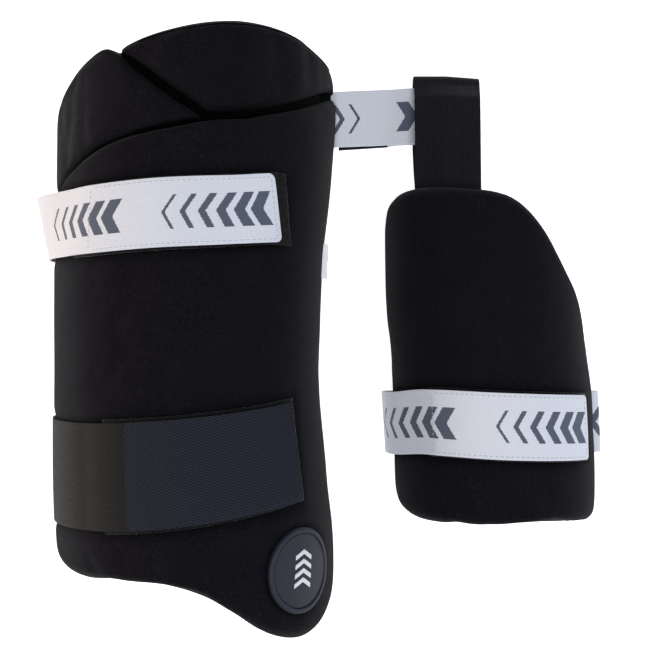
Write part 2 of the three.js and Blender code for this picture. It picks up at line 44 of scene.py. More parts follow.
# ---------------------------------------------------------------------------------------------
# The view: the guard lies on a plain white ground and is seen from straight above, from 0.6 m,
# under three large soft lights: a warm one low on the left, a cool one on the right and one above.
bpy.ops.object.camera_add(location=(0.00665, 0.00208, 0.600), rotation=(0, 0, 0))
camera = bpy.context.object
camera.name = "view_camera"
camera.data.sensor_width = 36
camera.data.lens = 49.7
camera.data.clip_start = 0.01
bpy.context.scene.camera = camera


def soft_light(name, place, size, power, colour):
    """A large area light that looks at the middle of the guard."""
    bpy.ops.object.light_add(type="AREA", location=place)
    light = bpy.context.object
    light.name = name
    light.rotation_euler = (-Vector(place)).to_track_quat("-Z", "Y").to_euler()
    light.data.size = size
    light.data.energy = power
    light.data.color = colour


soft_light("warm_light", (-1.15, 0.00, 0.27), 0.45, 6.6, (1.0, 0.80, 0.60))
soft_light("cool_light", (0.95, -0.10, 0.60), 0.7, 2.5, (0.76, 0.86, 1.0))
soft_light("top_light", (0.10, -0.25, 1.35), 0.8, 13.5, (0.93, 0.96, 1.0))

world = bpy.data.worlds.new("studio")
world.use_nodes = True
world.node_tree.nodes["Background"].inputs["Color"].default_value = (1.0, 1.0, 1.0, 1)
world.node_tree.nodes["Background"].inputs["Strength"].default_value = 0.14
bpy.context.scene.world = world
bpy.context.scene.view_settings.view_transform = "Standard"

ground_white = bpy.data.materials.new("ground_white")
ground_white.use_nodes = True
ground_shader = ground_white.node_tree.nodes["Principled BSDF"]
ground_shader.inputs["Base Color"].default_value = (0.93, 0.93, 0.93, 1)
ground_shader.inputs["Roughness"].default_value = 0.9
ground_shader.inputs["Specular IOR Level"].default_value = 0.1
ground_shader.inputs["Emission Color"].default_value = (1, 1, 1, 1)
ground_shader.inputs["Emission Strength"].default_value = 0.78

bpy.ops.mesh.primitive_plane_add(size=8, location=(0, 0, -0.0003))
ground = bpy.context.object
ground.name = "ground"
ground.data.materials.append(ground_white)

# ---------------------------------------------------------------------------------------------
# Foam cells of the outer guard: soft foam under a thin black brushed knit, in three cells. Their
# rounded edges meet in two grooves, where the cover is sewn through to the lining.


def through(rows, place, from_scale=1.0, to_scale=1.0):
    """The value at a place on a smooth curve through rows of (place, value), level past its ends."""
    places, values = np.array(rows, float).T
    places, values = places * from_scale, values * to_scale
    chords = np.diff(values) / np.diff(places)
    slopes = np.concatenate((chords[:1], (chords[1:] + chords[:-1]) / 2, chords[-1:]))
    held = np.clip(place, places[0], places[-1])
    k = np.clip(np.searchsorted(places, held) - 1, 0, len(places) - 2)
    run = places[k + 1] - places[k]
    t = (held - places[k]) / run
    return (
        (2 * t**3 - 3 * t**2 + 1) * values[k]
        + (t**3 - 2 * t**2 + t) * run * slopes[k]
        + (3 * t**2 - 2 * t**3) * values[k + 1]
        + (t**3 - t**2) * run * slopes[k + 1]
    )


class Guard:
    """An arch round the leg. A place on it is the way round from its crest, up the leg, and out."""

    def __init__(self, middle, length, radius, half_angle, axis, sections):
        self.middle, self.length, self.radius, self.axis = middle, length, radius, axis
        self.rim = math.radians(half_angle)
        self.half_arc = radius * self.rim
        self.sections = np.array(sections)

    def section(self, y):
        """Middle and radius of the arch at a place up the leg."""
        rows = self.sections
        shift = through(rows[:, [0, 1]], y, self.length, self.radius)
        return shift, through(rows[:, [0, 2]], y, self.length, self.radius)

    def place(self, side, y, lift):
        """Points in the frame for places on the guard."""
        shift, girth = self.section(y)
        angle, reach = side / self.radius, girth + lift
        return np.stack(
            np.broadcast_arrays(
                self.middle[0] + shift + reach * np.sin(angle),
                self.middle[1] + y,
                self.axis + reach * np.cos(angle),
            ),
            axis=-1,
        )

    def where(self, points):
        """Places on the guard for points in the frame: side, y and lift."""
        y = points[..., 1] - self.middle[1]
        shift, girth = self.section(y)
        across, up = points[..., 0] - self.middle[0] - shift, points[..., 2] - self.axis
        return self.radius * np.arctan2(across, up), y, np.hypot(across, up) - girth

    def edge(self, rows, side):
        """Place up the leg of an edge that is given in shares of the half girth and the length."""
        return through(rows, side, self.half_arc, self.length)


outer = Guard(
    middle=(-0.08316, 0.00202),
    length=0.359,
    radius=0.087,
    half_angle=90,
    axis=0.0024,
    sections=[
        (-0.501, 0.034, 1.011),
        (-0.390, 0.034, 1.011),
        (-0.251, 0.000, 0.994),
        (-0.084, -0.026, 0.970),
        (0.000, -0.024, 0.972),
        (0.139, -0.013, 0.983),
        (0.251, 0.020, 0.996),
        (0.362, 0.037, 1.009),
        (0.493, 0.039, 1.011),
    ],
)

upper_way = [(-1.0, 0.180), (-0.360, 0.179), (-0.050, 0.185), (0.215, 0.191), (0.444, 0.200)]
lower_way = [
    (-1.0, -0.236),
    (-0.450, -0.231),
    (-0.186, -0.2245),
    (0.050, -0.2165),
    (0.300, -0.206),
    (0.560, -0.194),
]
badge_side, badge_up, badge_radius = 0.563 * outer.half_arc, -0.390 * outer.length, 0.025


def beyond_band(guard, way, width, from_share, to_share):
    """How far places lie outside the band that a strap and its patch cover on a guard."""

    def distance(side, y):
        past_edge = np.abs(y - guard.edge(way, side)) - width / 2
        start, end = from_share * guard.half_arc, to_share * guard.half_arc
        past_end = np.maximum(start - side, side - end)
        return np.hypot(np.maximum(past_edge, 0), np.maximum(past_end, 0))

    return distance


def beyond_badge(side, y):
    """How far places lie outside the badge."""
    return np.maximum(np.hypot(side - badge_side, y - badge_up) - badge_radius, 0)


hip_edge = [
    (-1.000, 0.292),
    (-0.935, 0.339),
    (-0.800, 0.379),
    (-0.622, 0.406),
    (-0.439, 0.438),
    (-0.322, 0.452),
    (-0.282, 0.446),
    (-0.234, 0.455),
    (0.051, 0.482),
    (0.230, 0.492),
    (0.534, 0.491),
    (0.644, 0.482),
    (0.907, 0.463),
    (0.970, 0.452),
    (1.000, 0.436),
]
knee_edge = [
    (-1.000, -0.284),
    (-0.935, -0.352),
    (-0.800, -0.383),
    (-0.600, -0.395),
    (-0.240, -0.394),
    (-0.037, -0.399),
    (0.100, -0.413),
    (0.227, -0.440),
    (0.439, -0.489),
    (0.637, -0.506),
    (0.830, -0.484),
    (0.950, -0.441),
    (1.000, -0.374),
]
hip_groove = [
    (-1.000, 0.215),
    (-0.571, 0.266),
    (-0.344, 0.296),
    (0.100, 0.329),
    (0.318, 0.342),
    (0.527, 0.363),
    (0.779, 0.396),
    (1.000, 0.423),
]
slant_groove = [
    (-0.282, 0.446),
    (-0.253, 0.438),
    (-0.162, 0.413),
    (-0.050, 0.383),
    (0.055, 0.357),
    (0.130, 0.335),
]
foam, back_round = 0.014, 0.003
groove_half, lip_half, groove_closing = 0.0024, 0.0006, 0.014
slant_top, slant_foot = (slant_groove[k][0] * outer.half_arc for k in (0, -1))


def line_distance(side, y, line):
    """How far places lie from the nearest point of a line on the guard."""
    start, run = line[:-1], np.diff(line, axis=0)
    away = np.stack((side, y), axis=-1)[..., None, :] - start
    share = np.clip((away * run).sum(-1) / np.maximum((run**2).sum(-1), 1e-12), 0, 1)
    return np.linalg.norm(away - share[..., None] * run, axis=-1).min(-1)


def round_drop(distance, radius):
    """How far a rounded edge lies below the face, at a distance in from the edge."""
    return radius - np.sqrt(radius**2 - np.maximum(radius - distance, 0) ** 2)


cell_pitch, cell_round, trim_share, smaller = 0.0032, 0.0065, 0.3, 0.0004
air_pressure, air_frames, swell_cap = 4, 20, 0.0014
press_run, press_height, press_sink = 0.010, 0.0022, 0.0001
uneven_height, uneven_scale, even_depth = 0.0003, 38, 0.008


def cell_nets(guard, first, last, low, high, low_radius, high_radius):
    """The face and the back of a foam cell, as nets of points that follow its border."""
    steps = cell_round * (1 - np.cos(np.radians([0, 18, 34, 48, 62, 76, 90])))
    count = int((last - first - 2 * cell_round) / cell_pitch)
    middle = np.linspace(first + cell_round, last - cell_round, count)
    sides = np.concatenate((first + steps[:-1], middle, last - steps[-2::-1]))
    bottom, top = low(sides) + smaller, high(sides) - smaller
    trim = np.minimum(1, trim_share * (top - bottom) / cell_round)[:, None]
    rows = int(np.max(top - bottom) / cell_pitch)
    inner_low, inner_high = bottom[:, None] + cell_round * trim, top[:, None] - cell_round * trim
    y = np.concatenate(
        (
            bottom[:, None] + steps[:-1] * trim,
            inner_low + (inner_high - inner_low) * np.linspace(0, 1, rows),
            top[:, None] - steps[-2::-1] * trim,
        ),
        axis=1,
    )
    side = np.broadcast_to(sides[:, None], y.shape)
    low_line, high_line = np.stack((sides, bottom), axis=1), np.stack((sides, top), axis=1)
    borders = [
        (low_line, low_radius(side)),
        (high_line, high_radius(side)),
        (np.stack((low_line[0], high_line[0])), cell_round),
        (np.stack((low_line[-1], high_line[-1])), cell_round),
    ]
    drops = [(line_distance(side, y, line), radius) for line, radius in borders]
    face_drop = np.max([round_drop(distance, radius) for distance, radius in drops], axis=0)
    back_rise = np.max([round_drop(distance, back_round) for distance, _ in drops], axis=0)
    return guard.place(side, y, -smaller - face_drop), guard.place(side, y, back_rise - foam)


def net_grid(name, net):
    """A flat grid with one point for each point of a net."""
    rows, lines = net.shape[:2]
    bpy.ops.mesh.primitive_grid_add(x_subdivisions=lines - 1, y_subdivisions=rows - 1, size=1)
    grid = bpy.context.object
    grid.name = name
    return grid


def finished_by(kind, **settings):
    """Gives the active piece a modifier and applies it."""
    bpy.ops.object.modifier_add(type=kind)
    modifier = bpy.context.object.modifiers[-1]
    for key, value in settings.items():
        setattr(modifier, key, value)
    bpy.ops.object.modifier_apply(modifier=modifier.name)


def points_of(piece):
    """The points of a piece's mesh."""
    points = np.empty(len(piece.data.vertices) * 3)
    piece.data.vertices.foreach_get("co", points)
    return points.reshape(-1, 3)


def laid_on(guard, piece):
    """Stores the places of a piece's points on the guard, which its knit follows."""
    lay = np.stack(guard.where(points_of(piece)), axis=-1).ravel()
    piece.data.attributes.new("cloth_lay", "FLOAT_VECTOR", "POINT").data.foreach_set("vector", lay)


def padded_cell(name, guard, resting, *shape):
    """A foam cell: its face and back are inflated as cloth, then pressed where things rest on it."""
    face, back = cell_nets(guard, *shape)
    cell = net_grid(name, face)
    finished_by("SOLIDIFY")
    start = np.concatenate((face.reshape(-1, 3), back.reshape(-1, 3)))
    cell.data.vertices.foreach_set("co", start.ravel())
    bpy.ops.object.mode_set(mode="EDIT")
    bpy.ops.mesh.select_all(action="SELECT")
    bpy.ops.mesh.normals_make_consistent(inside=False)
    bpy.ops.object.mode_set(mode="OBJECT")
    swell = np.zeros((len(start) // 2, 3))
    bpy.ops.object.modifier_add(type="CLOTH")
    cloth = cell.modifiers["Cloth"]
    cloth.settings.use_pressure = True
    cloth.settings.uniform_pressure_force = air_pressure
    cloth.settings.effector_weights.gravity = 0
    cloth.point_cache.frame_start, cloth.point_cache.frame_end = 1, air_frames
    for step in range(1, air_frames + 1):
        bpy.context.scene.frame_set(step)
    swollen = cell.evaluated_get(bpy.context.evaluated_depsgraph_get())
    moved = (points_of(swollen) - start).reshape(2, -1, 3)
    swell = moved[0] - moved[1]
    cell.modifiers.remove(cloth)
    bpy.context.scene.frame_set(1)
    swollen_by = np.maximum(np.linalg.norm(swell, axis=1, keepdims=True), 1e-9)
    swell *= np.minimum(1, swell_cap / swollen_by)
    points = start + np.concatenate((swell, np.zeros_like(swell)))
    side, y, lift = guard.where(points)
    soft = np.array([noise.noise(Vector(point) * uneven_scale) for point in points])
    lift = np.where(lift > -even_depth, lift + uneven_height * soft, lift)
    for distance in resting:
        pressed = press_height * np.clip(distance(side, y) / press_run, 0, 1) ** 0.7 - press_sink
        lift = np.minimum(lift, pressed)
    cell.data.vertices.foreach_set("co", guard.place(side, y, np.maximum(lift, -foam)).ravel())
    finished_by("SUBSURF", levels=1, render_levels=1)
    laid_on(guard, cell)
    bpy.ops.object.shade_smooth()
    return cell


def node_in(tree, kind, inputs=None, **settings):
    """A shader node with its settings, and its inputs linked or set."""
    node = tree.nodes.new(kind)
    for key, value in settings.items():
        setattr(node, key, value)
    for key, value in (inputs or {}).items():
        if isinstance(value, bpy.types.NodeSocket):
            tree.links.new(value, node.inputs[key])
        else:
            node.inputs[key].default_value = value
    return node


def maths(tree, operation, *values):
    """The result of a Math node."""
    return node_in(tree, "ShaderNodeMath", dict(enumerate(values)), operation=operation).outputs[0]


def times(tree, *values):
    """The product of two values."""
    return maths(tree, "MULTIPLY", *values)


def plus(tree, *values):
    """The sum of two values."""
    return maths(tree, "ADD", *values)


def wave(tree, phase):
    """A row of round ridges."""
    return maths(tree, "ABSOLUTE", maths(tree, "SINE", phase))


def noise_at(tree, place, scale, detail):
    """An even noise."""
    own = {"Vector": place, "Scale": scale, "Detail": detail}
    return node_in(tree, "ShaderNodeTexNoise", own).outputs[0]


def between(tree, value, low, high):
    """A value spread over 0 to 1 between two limits."""
    own = {"Value": value, "From Min": low, "From Max": high}
    return node_in(tree, "ShaderNodeMapRange", own).outputs[0]


def effect_group(name, inputs, outputs):
    """A shader node group with number or vector inputs and outputs, and its two end nodes."""
    group = bpy.data.node_groups.new(name, "ShaderNodeTree")
    for label, kind in inputs.items():
        group.interface.new_socket(label, in_out="INPUT", socket_type=f"NodeSocket{kind}")
    for label in outputs:
        group.interface.new_socket(label, in_out="OUTPUT", socket_type="NodeSocketFloat")
    return group, group.nodes.new("NodeGroupInput").outputs, group.nodes.new("NodeGroupOutput")


def put_out(group, result, values):
    """Links the results of an effect to the outputs of its group."""
    for label, value in values.items():
        group.links.new(value, result.inputs[label])
    return group


def knit_effect():
    """Fine jersey: wales up the leg, courses across them, a soft brushed nap and light lint."""
    group, given, result = effect_group(
        "knit_effect", {"Lay": "Vector", "Wale": "Float", "Nap": "Float"}, ["Height", "Shade", "Lint"]
    )
    part = node_in(group, "ShaderNodeSeparateXYZ", {0: given["Lay"]}).outputs
    turns = maths(group, "DIVIDE", math.pi, given["Wale"])
    wales = wave(group, times(group, part[0], turns))
    rows = times(group, times(group, part[1], turns), 1.35)
    courses = wave(group, plus(group, rows, times(group, wales, 0.9)))
    nap, cloud = noise_at(group, given["Lay"], 1100, 2), noise_at(group, given["Lay"], 45, 2)
    loops = times(group, wales, courses)
    soft = plus(group, times(group, loops, 0.3), times(group, cloud, 0.55))
    grain = times(group, maths(group, "SUBTRACT", nap, 0.5), 2.4)
    results = {
        "Height": plus(group, loops, times(group, nap, given["Nap"])),
        "Shade": plus(group, soft, grain),
        "Lint": between(group, nap, 0.66, 0.80),
    }
    return put_out(group, result, results)


knit = knit_effect()


def cloth_material(name, roughness, sheen, specular, sheen_roughness=0.4):
    """A cloth material and its shader, with its gloss set on the shader's own sockets."""
    material = bpy.data.materials.new(name)
    material.use_nodes = True
    shader = material.node_tree.nodes["Principled BSDF"]
    shader.inputs["Roughness"].default_value = roughness
    shader.inputs["Specular IOR Level"].default_value = specular
    shader.inputs["Sheen Weight"].default_value = sheen
    shader.inputs["Sheen Roughness"].default_value = sheen_roughness
    shader.inputs["Sheen Tint"].default_value = (1, 1, 1, 1)
    return material, shader


def blend_of(tree, factor, dark, light):
    """A colour between two by a factor."""
    own = {0: factor, 6: dark, 7: light}
    return node_in(tree, "ShaderNodeMix", own, data_type="RGBA").outputs[2]


def coloured(tree, shader, factor, dark, light):
    """Colours a shader between two colours by a factor."""
    tree.links.new(blend_of(tree, factor, dark, light), shader.inputs["Base Color"])


def raised(tree, shader, height, distance, strength=1.0):
    """Relief of a cloth on its shader."""
    own = {"Height": height, "Distance": distance, "Strength": strength}
    tree.links.new(node_in(tree, "ShaderNodeBump", own).outputs[0], shader.inputs["Normal"])


def knit_material(name, dark, light, lint):
    """Black knitted cover cloth, with painted shade: darker in colour and sheen where things crowd it.
    """
    material, shader = cloth_material(name, 0.9, 0.07, 0.05, sheen_roughness=0.3)
    tree = material.node_tree
    lay = node_in(tree, "ShaderNodeAttribute", attribute_name="cloth_lay").outputs["Vector"]
    own = {"Lay": lay, "Wale": 0.0009, "Nap": 0.8}
    cloth = node_in(tree, "ShaderNodeGroup", own, node_tree=knit).outputs
    flecked = blend_of(tree, cloth["Lint"], blend_of(tree, cloth["Shade"], dark, light), lint)
    # Painted shade: ambient occlusion darkens the base colour and the sheen in the grooves and under
    # straps.
    sky = node_in(tree, "ShaderNodeAmbientOcclusion", {"Distance": 0.012}, samples=8).outputs["AO"]
    painted_occlusion = maths(tree, "POWER", sky, 2.2)
    coloured(tree, shader, painted_occlusion, (0, 0, 0, 1), flecked)
    tree.links.new(times(tree, painted_occlusion, 0.07), shader.inputs["Sheen Weight"])
    raised(tree, shader, cloth["Height"], 0.0002)
    return material


cover_knit = knit_material(
    "cover_knit", (0.0044, 0.0038, 0.0058, 1), (0.0118, 0.0106, 0.0150, 1), (0.032, 0.029, 0.037, 1)
)


def fitted(piece, material, slot, *nodes):
    """Finishes a piece: its material, its body and the CAD nodes that it stands for. Its slot is not
    used.
    """
    piece.data.materials.append(material)
    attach(piece, "root")
    if nodes:
        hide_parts(*nodes)


on_outer = [
    beyond_band(outer, upper_way, 0.041, -1.0, 0.520),
    beyond_band(outer, lower_way, 0.0675, -1.0, 0.600),
    beyond_badge,
]


def edge_line(guard, rows):
    """The place up the leg of an edge or groove, for places round the guard."""
    return lambda side: guard.edge(rows, side)


outer_rim = outer.half_arc
hip, knee = edge_line(outer, hip_edge), edge_line(outer, knee_edge)
lip, slant = edge_line(outer, hip_groove), edge_line(outer, slant_groove)


def full_round(side):
    """The rounding of an outline border of a cell."""
    return np.full(np.shape(side), cell_round)


def closing(inside, closed, full):
    """A size of a groove, which closes where the groove runs out at the border of the guard."""
    return np.interp(inside, [0, groove_closing], [closed, full])


def groove_round(side):
    """The rounding of a groove border."""
    return closing(np.minimum(side - slant_top, outer_rim - side), 0.0016, 0.0054)


def tight_round(side):
    """The rounding where the wedge and the dome overlie the thigh cell."""
    return closing(outer_rim - np.abs(side), 0.0014, 0.0036)


def groove(distance):
    """Half the width of a groove, at a distance in from where it runs out."""
    return closing(distance, lip_half, groove_half)


def wedge_top(side):
    """The upper border of the wedge cell."""
    return np.where(side < slant_top, hip(side), slant(side) - groove(side - slant_top))


def dome_foot(side):
    """The lower border of the dome cell."""
    slanted = slant(side) + groove(side - slant_top)
    level = lip(side) + 2 * groove(outer_rim - side)
    return np.where(side < slant_foot, slanted, level)


def wedge_foot(side):
    """The lower border of the wedge cell, which opens towards the meeting of the grooves."""
    return lip(side) + np.interp(side, [-0.048, 0.032], [lip_half, groove_half])


def thigh_top(side):
    """The upper border of the thigh cell."""
    return lip(side) - lip_half


wedge_end, dome_start = slant_foot - 0.0042, slant_top + 0.0024
for label, resting, *shape in (
    ("thigh", on_outer, -outer_rim, outer_rim, knee, thigh_top, full_round, tight_round),
    ("hip_wedge", [], -outer_rim, wedge_end, wedge_foot, wedge_top, tight_round, groove_round),
    ("hip_dome", [], dome_start, outer_rim, dome_foot, hip, groove_round, full_round),
):
    cell = padded_cell(f"{label}_cell", outer, resting, *shape)
    fitted(cell, cover_knit, "knit_cover", f"{label}_pad")

# ---------------------------------------------------------------------------------------------
# Groove cloth: the cover between the cells, drawn down and sewn through to the lining. It closes
# the foot of both grooves. Its knit is darker than the cover's: painted shade in the grooves.
groove_depth, end_depth, groove_cloth, groove_width = 0.0092, 0.0022, 0.0008, 0.0056
lip_in, slant_in, lip_above = 0.0015, 0.0035, 0.7 * groove_half
# A darker copy of the cover knit: painted shade for the cloth at the foot of the grooves.
groove_painted_shade_knit = knit_material(
    "groove_painted_shade_knit", (0.0008, 0.0007, 0.0010, 1), (0.0022, 0.0020, 0.0027, 1), (0.003, 0.003, 0.004, 1)
)


def cloth_sheet(name, net, runs, shares, thickness, edge_round=0.0):
    """Cloth through a net of points: a grid moved to the net, given its thickness and soft edges."""
    sheet = net_grid(name, net)
    rows, lines = net.shape[:2]
    sheet.data.vertices.foreach_set("co", net.ravel())
    corner = np.empty(len(sheet.data.loops), int)
    sheet.data.loops.foreach_get("vertex_index", corner)
    across = np.broadcast_to(shares, (rows, lines))
    along = np.broadcast_to(np.reshape(runs, (rows, -1)), (rows, lines))
    laid = np.stack((along, across), axis=-1).reshape(-1, 2)
    sheet.data.uv_layers[0].uv.foreach_set("vector", laid[corner].ravel())
    finished_by("SOLIDIFY", thickness=thickness, offset=0)
    if edge_round:
        turn_limit = math.radians(60)
        finished_by("BEVEL", width=edge_round, segments=2, limit_method="ANGLE", angle_limit=turn_limit)
    bpy.ops.object.shade_smooth_by_angle(angle=math.radians(50))
    return sheet


for name, line, first, last, above in (
    ("lip_groove_cloth", lip, lip_in - outer_rim, outer_rim - lip_in, lip_above),
    ("slant_groove_cloth", slant, slant_top + slant_in, slant_foot, 0.0),
):
    sides = np.linspace(first, last, 90)
    spread = np.linspace(-0.5, 0.5, 7) * groove_width
    y = line(sides)[:, None] + above + spread
    inside = sides - slant_top if line is slant else outer_rim - np.abs(sides)
    deep = closing(inside, end_depth, groove_depth)[:, None]
    net = outer.place(sides[:, None], y, np.broadcast_to(-deep, y.shape))
    foot_cloth = cloth_sheet(name, net, sides, spread, groove_cloth)
    laid_on(outer, foot_cloth)
    fitted(foot_cloth, groove_painted_shade_knit, "knit_cover")

# ---------------------------------------------------------------------------------------------
# Foam cell of the inner guard: one cell under the same knitted cover, with rounded lower corners
# and a top that slopes away to the outside of the leg.
inner = Guard(
    middle=(0.10484, 0.00202),
    length=0.206,
    radius=0.067,
    half_angle=75,
    axis=-0.01086,
    sections=[
        (-0.575, 0.090, 1.006),
        (-0.398, 0.078, 1.014),
        (-0.194, 0.054, 1.012),
        (-0.078, 0.024, 1.001),
        (0.048, -0.008, 0.998),
        (0.291, -0.040, 0.985),
        (0.437, -0.040, 0.985),
    ],
)
inner_way = [(-1.0, -0.279), (-0.850, -0.277), (-0.550, -0.263), (0.0, -0.268), (0.720, -0.283)]
on_inner = [beyond_band(inner, inner_way, 0.042, -1.0, 0.700)]
inner_top_edge = [
    (-1.000, 0.330),
    (-0.960, 0.386),
    (-0.860, 0.415),
    (-0.700, 0.428),
    (-0.110, 0.416),
    (0.050, 0.408),
    (0.190, 0.386),
    (0.380, 0.324),
    (0.655, 0.188),
    (0.850, 0.094),
    (0.950, 0.020),
    (1.000, -0.060),
]
inner_foot_edge = [
    (-1.000, -0.485),
    (-0.950, -0.529),
    (-0.860, -0.548),
    (-0.300, -0.558),
    (0.340, -0.555),
    (0.700, -0.568),
    (0.870, -0.575),
    (0.960, -0.558),
    (1.000, -0.510),
]
inner_shape = (
    -inner.half_arc,
    inner.half_arc,
    edge_line(inner, inner_foot_edge),
    edge_line(inner, inner_top_edge),
    full_round,
    full_round,
)
inner_cell = padded_cell("inner_thigh_cell", inner, on_inner, *inner_shape)
fitted(inner_cell, cover_knit, "knit_cover", "inner_pad")

# ---------------------------------------------------------------------------------------------
# Linings: black air mesh that backs each guard and touches the leg. Each is sewn to its cover
# round the whole outline, and the seam is bound with a narrow bead of cloth. A thin bead lies in
# the seam along the crowned edge of the dome, dark with painted shade from the groove knit.
seam_gap, lining_cloth, lining_edge, hem = 0.00055, 0.002, 0.0006, 0.0016
binding_radius, binding_inset, binding_depth = 0.0011, 0.0007, 0.0004
piping_radius, piping_inset, piping_depth = 0.0005, 0.0032, 0.001


def made_active(name, data):
    """A new object in the scene, selected alone."""
    piece = bpy.data.objects.new(name, data)
    bpy.context.collection.objects.link(piece)
    bpy.ops.object.select_all(action="DESELECT")
    piece.select_set(True)
    bpy.context.view_layer.objects.active = piece
    return piece


def bead(name, points, radius, closed=True):
    """A round bead of cloth along a line or ring of points."""
    curve = bpy.data.curves.new(name, "CURVE")
    curve.dimensions = "3D"
    curve.bevel_depth, curve.bevel_resolution = radius, 2
    spline = curve.splines.new("POLY")
    spline.points.add(len(points) - 1)
    spline.points.foreach_set("co", np.column_stack((points, np.ones(len(points)))).ravel())
    spline.use_cyclic_u = closed
    made_active(name, curve)
    bpy.ops.object.convert(target="MESH")
    bpy.ops.object.shade_smooth()
    return bpy.context.object


def air_mesh_material():
    """Air mesh: rows of small round holes in a knit."""
    material, shader = cloth_material("air_mesh", 0.92, 0.15, 0.08)
    tree = material.node_tree
    place = node_in(tree, "ShaderNodeUVMap").outputs[0]
    own = {"Vector": place, "Scale": 420, "Randomness": 0.12}
    holes = node_in(tree, "ShaderNodeTexVoronoi", own).outputs["Distance"]
    ring = between(tree, holes, 0.18, 0.42)
    fuzz = noise_at(tree, place, 1600, 2)
    coloured(tree, shader, ring, (0.003, 0.003, 0.0035, 1), (0.018, 0.017, 0.020, 1))
    raised(tree, shader, plus(tree, ring, times(tree, fuzz, 0.4)), 0.0005)
    return material


air_mesh = air_mesh_material()


def grain_effect():
    """A fine even grain, as of thread, bound cloth or moulded rubber."""
    group, given, result = effect_group(
        "grain_effect", {"Lay": "Vector", "Scale": "Float", "Detail": "Float"}, ["Grain"]
    )
    fine = noise_at(group, given["Lay"], given["Scale"], given["Detail"])
    return put_out(group, result, {"Grain": fine})


grain = grain_effect()


def grained_material(name, gloss, scale, detail, dark, light, relief):
    """A material with a fine grain. Its gloss is its roughness, sheen and specular level."""
    material, shader = cloth_material(name, *gloss)
    tree = material.node_tree
    place = node_in(tree, "ShaderNodeTexCoord").outputs["Object"]
    own = {"Lay": place, "Scale": scale, "Detail": detail}
    fine = node_in(tree, "ShaderNodeGroup", own, node_tree=grain).outputs["Grain"]
    coloured(tree, shader, fine, dark, light)
    raised(tree, shader, fine, relief)
    return material


binding_cloth = grained_material(
    "binding_cloth", (0.85, 0.12, 0.1), 1400, 3,
    (0.006, 0.006, 0.007, 1), (0.020, 0.019, 0.022, 1), 0.0003,
)


def guard_lining(name, guard, low_rows, high_rows, drop, node):
    """The lining sheet of a guard, and the bead that binds it to the cover."""
    rows = 121
    sides, shares = np.linspace(-guard.half_arc, guard.half_arc, rows), np.linspace(0, 1, rows)
    low, high = guard.edge(low_rows, sides) - drop, guard.edge(high_rows, sides)
    y = low[:, None] + (high - low)[:, None] * shares
    depth = foam + seam_gap + lining_cloth / 2
    net = guard.place(sides[:, None], y, np.full(y.shape, -depth))
    sheet = cloth_sheet(name, net, sides, y, lining_cloth, lining_edge)
    fitted(sheet, air_mesh, "lining_cloth", node)
    up, down = np.full(rows - 2, sides[-1]), np.full(rows - 2, sides[0])
    ring_side = np.concatenate((sides, up, sides[::-1], down))
    ring_y = np.concatenate((low + drop, y[-1, 1:-1], high[::-1], y[0, -2:0:-1]))
    at_rim = np.abs(ring_side) > guard.half_arc - 1e-9
    ring_side = ring_side - binding_inset * np.sign(ring_side) * at_rim
    ring_y = ring_y - binding_inset * np.sign(ring_y - (low.mean() + high.mean()) / 2)
    ring = guard.place(ring_side, ring_y, -foam - binding_depth)
    fitted(bead(f"{name}_binding", ring, binding_radius), binding_cloth, "lining_cloth")


guard_lining("outer_back_lining", outer, knee_edge, hip_edge, 0.0, "outer_lining")
guard_lining("inner_back_lining", inner, inner_foot_edge, inner_top_edge, hem, "inner_lining")

dome = bpy.data.objects["hip_dome_cell"]
piping_sides = np.linspace(slant_top + 0.016, outer_rim - 0.020, 120)
piping = outer.place(piping_sides, hip(piping_sides) - piping_inset, -piping_depth)
piping = np.array([dome.closest_point_on_mesh(Vector(point))[1] for point in piping])
# The piping takes the darker groove knit: painted shade along the dome's edge seam.
fitted(bead("dome_edge_piping", piping, piping_radius, closed=False), groove_painted_shade_knit, "knit_cover")

# ---------------------------------------------------------------------------------------------
# Loop patches: black loop tape sewn on the covers, a little larger than the strap ends on them.
# Hook tapes: stiff black tape sewn under the strap ends. Both are woven tapes with a dense pile.
clear, elastic, loop_tape, hook_tape = 0.0004, 0.0014, 0.001, 0.0012
slide_run, tape_edge, hook_in = 0.032, 0.0003, 0.002
straps = {
    "upper": dict(
        guard=outer, way=upper_way, width=0.0385, tip=0.444, slant=-0.25, hook_start=-0.345,
        patch_start=-0.480, patch_end=0.520, border=0.0013, corner=0.0035,
        stand_off=0.0064, stand_off_tilt=0.0088, taper=0.0,
    ),
    "lower": dict(
        guard=outer, way=lower_way, width=0.0635, tip=0.562, slant=-0.067, hook_start=-0.170,
        patch_start=-0.300, patch_end=0.600, border=0.002, corner=0.0012,
        stand_off=0.0, stand_off_tilt=0.0, taper=0.1,
    ),
    "inner": dict(
        guard=inner, way=inner_way, width=0.0394, tip=0.630, slant=0.0, hook_start=-0.430,
        patch_start=-0.520, patch_end=0.700, border=0.0013, corner=0.0025,
        stand_off=0.0024, stand_off_tilt=0.0012, taper=0.0,
    ),
}


def slide(side, end, amount):
    """How far a line across a strap is slid near its slanted end."""
    t = np.clip((side - end + slide_run) / slide_run, 0, 1)
    return amount * t * t * (3 - 2 * t)


def narrowed_by(strap, side):
    """What a strap keeps of its width on the way to its front end."""
    half = strap["guard"].half_arc
    return 1 - strap["taper"] * np.clip((side / half + 1) / (strap["tip"] + 1), 0, 1)


def front_tape(name, node, material, strap, start, end, extra, lift, thickness):
    """A tape that lies on the front of a guard, along its strap."""
    guard = strap["guard"]
    sides = np.linspace(start, end, 80)[:, None]
    across = np.linspace(-0.5, 0.5, 17) * (strap["width"] * narrowed_by(strap, sides) + extra)
    y = guard.edge(strap["way"], sides) + across
    slid = sides + slide(sides, end, strap["slant"] * across)
    net = guard.place(slid, y, np.full(y.shape, lift))
    tape = cloth_sheet(name, net, sides, across, thickness, tape_edge)
    fitted(tape, material, "hook_and_loop", node)


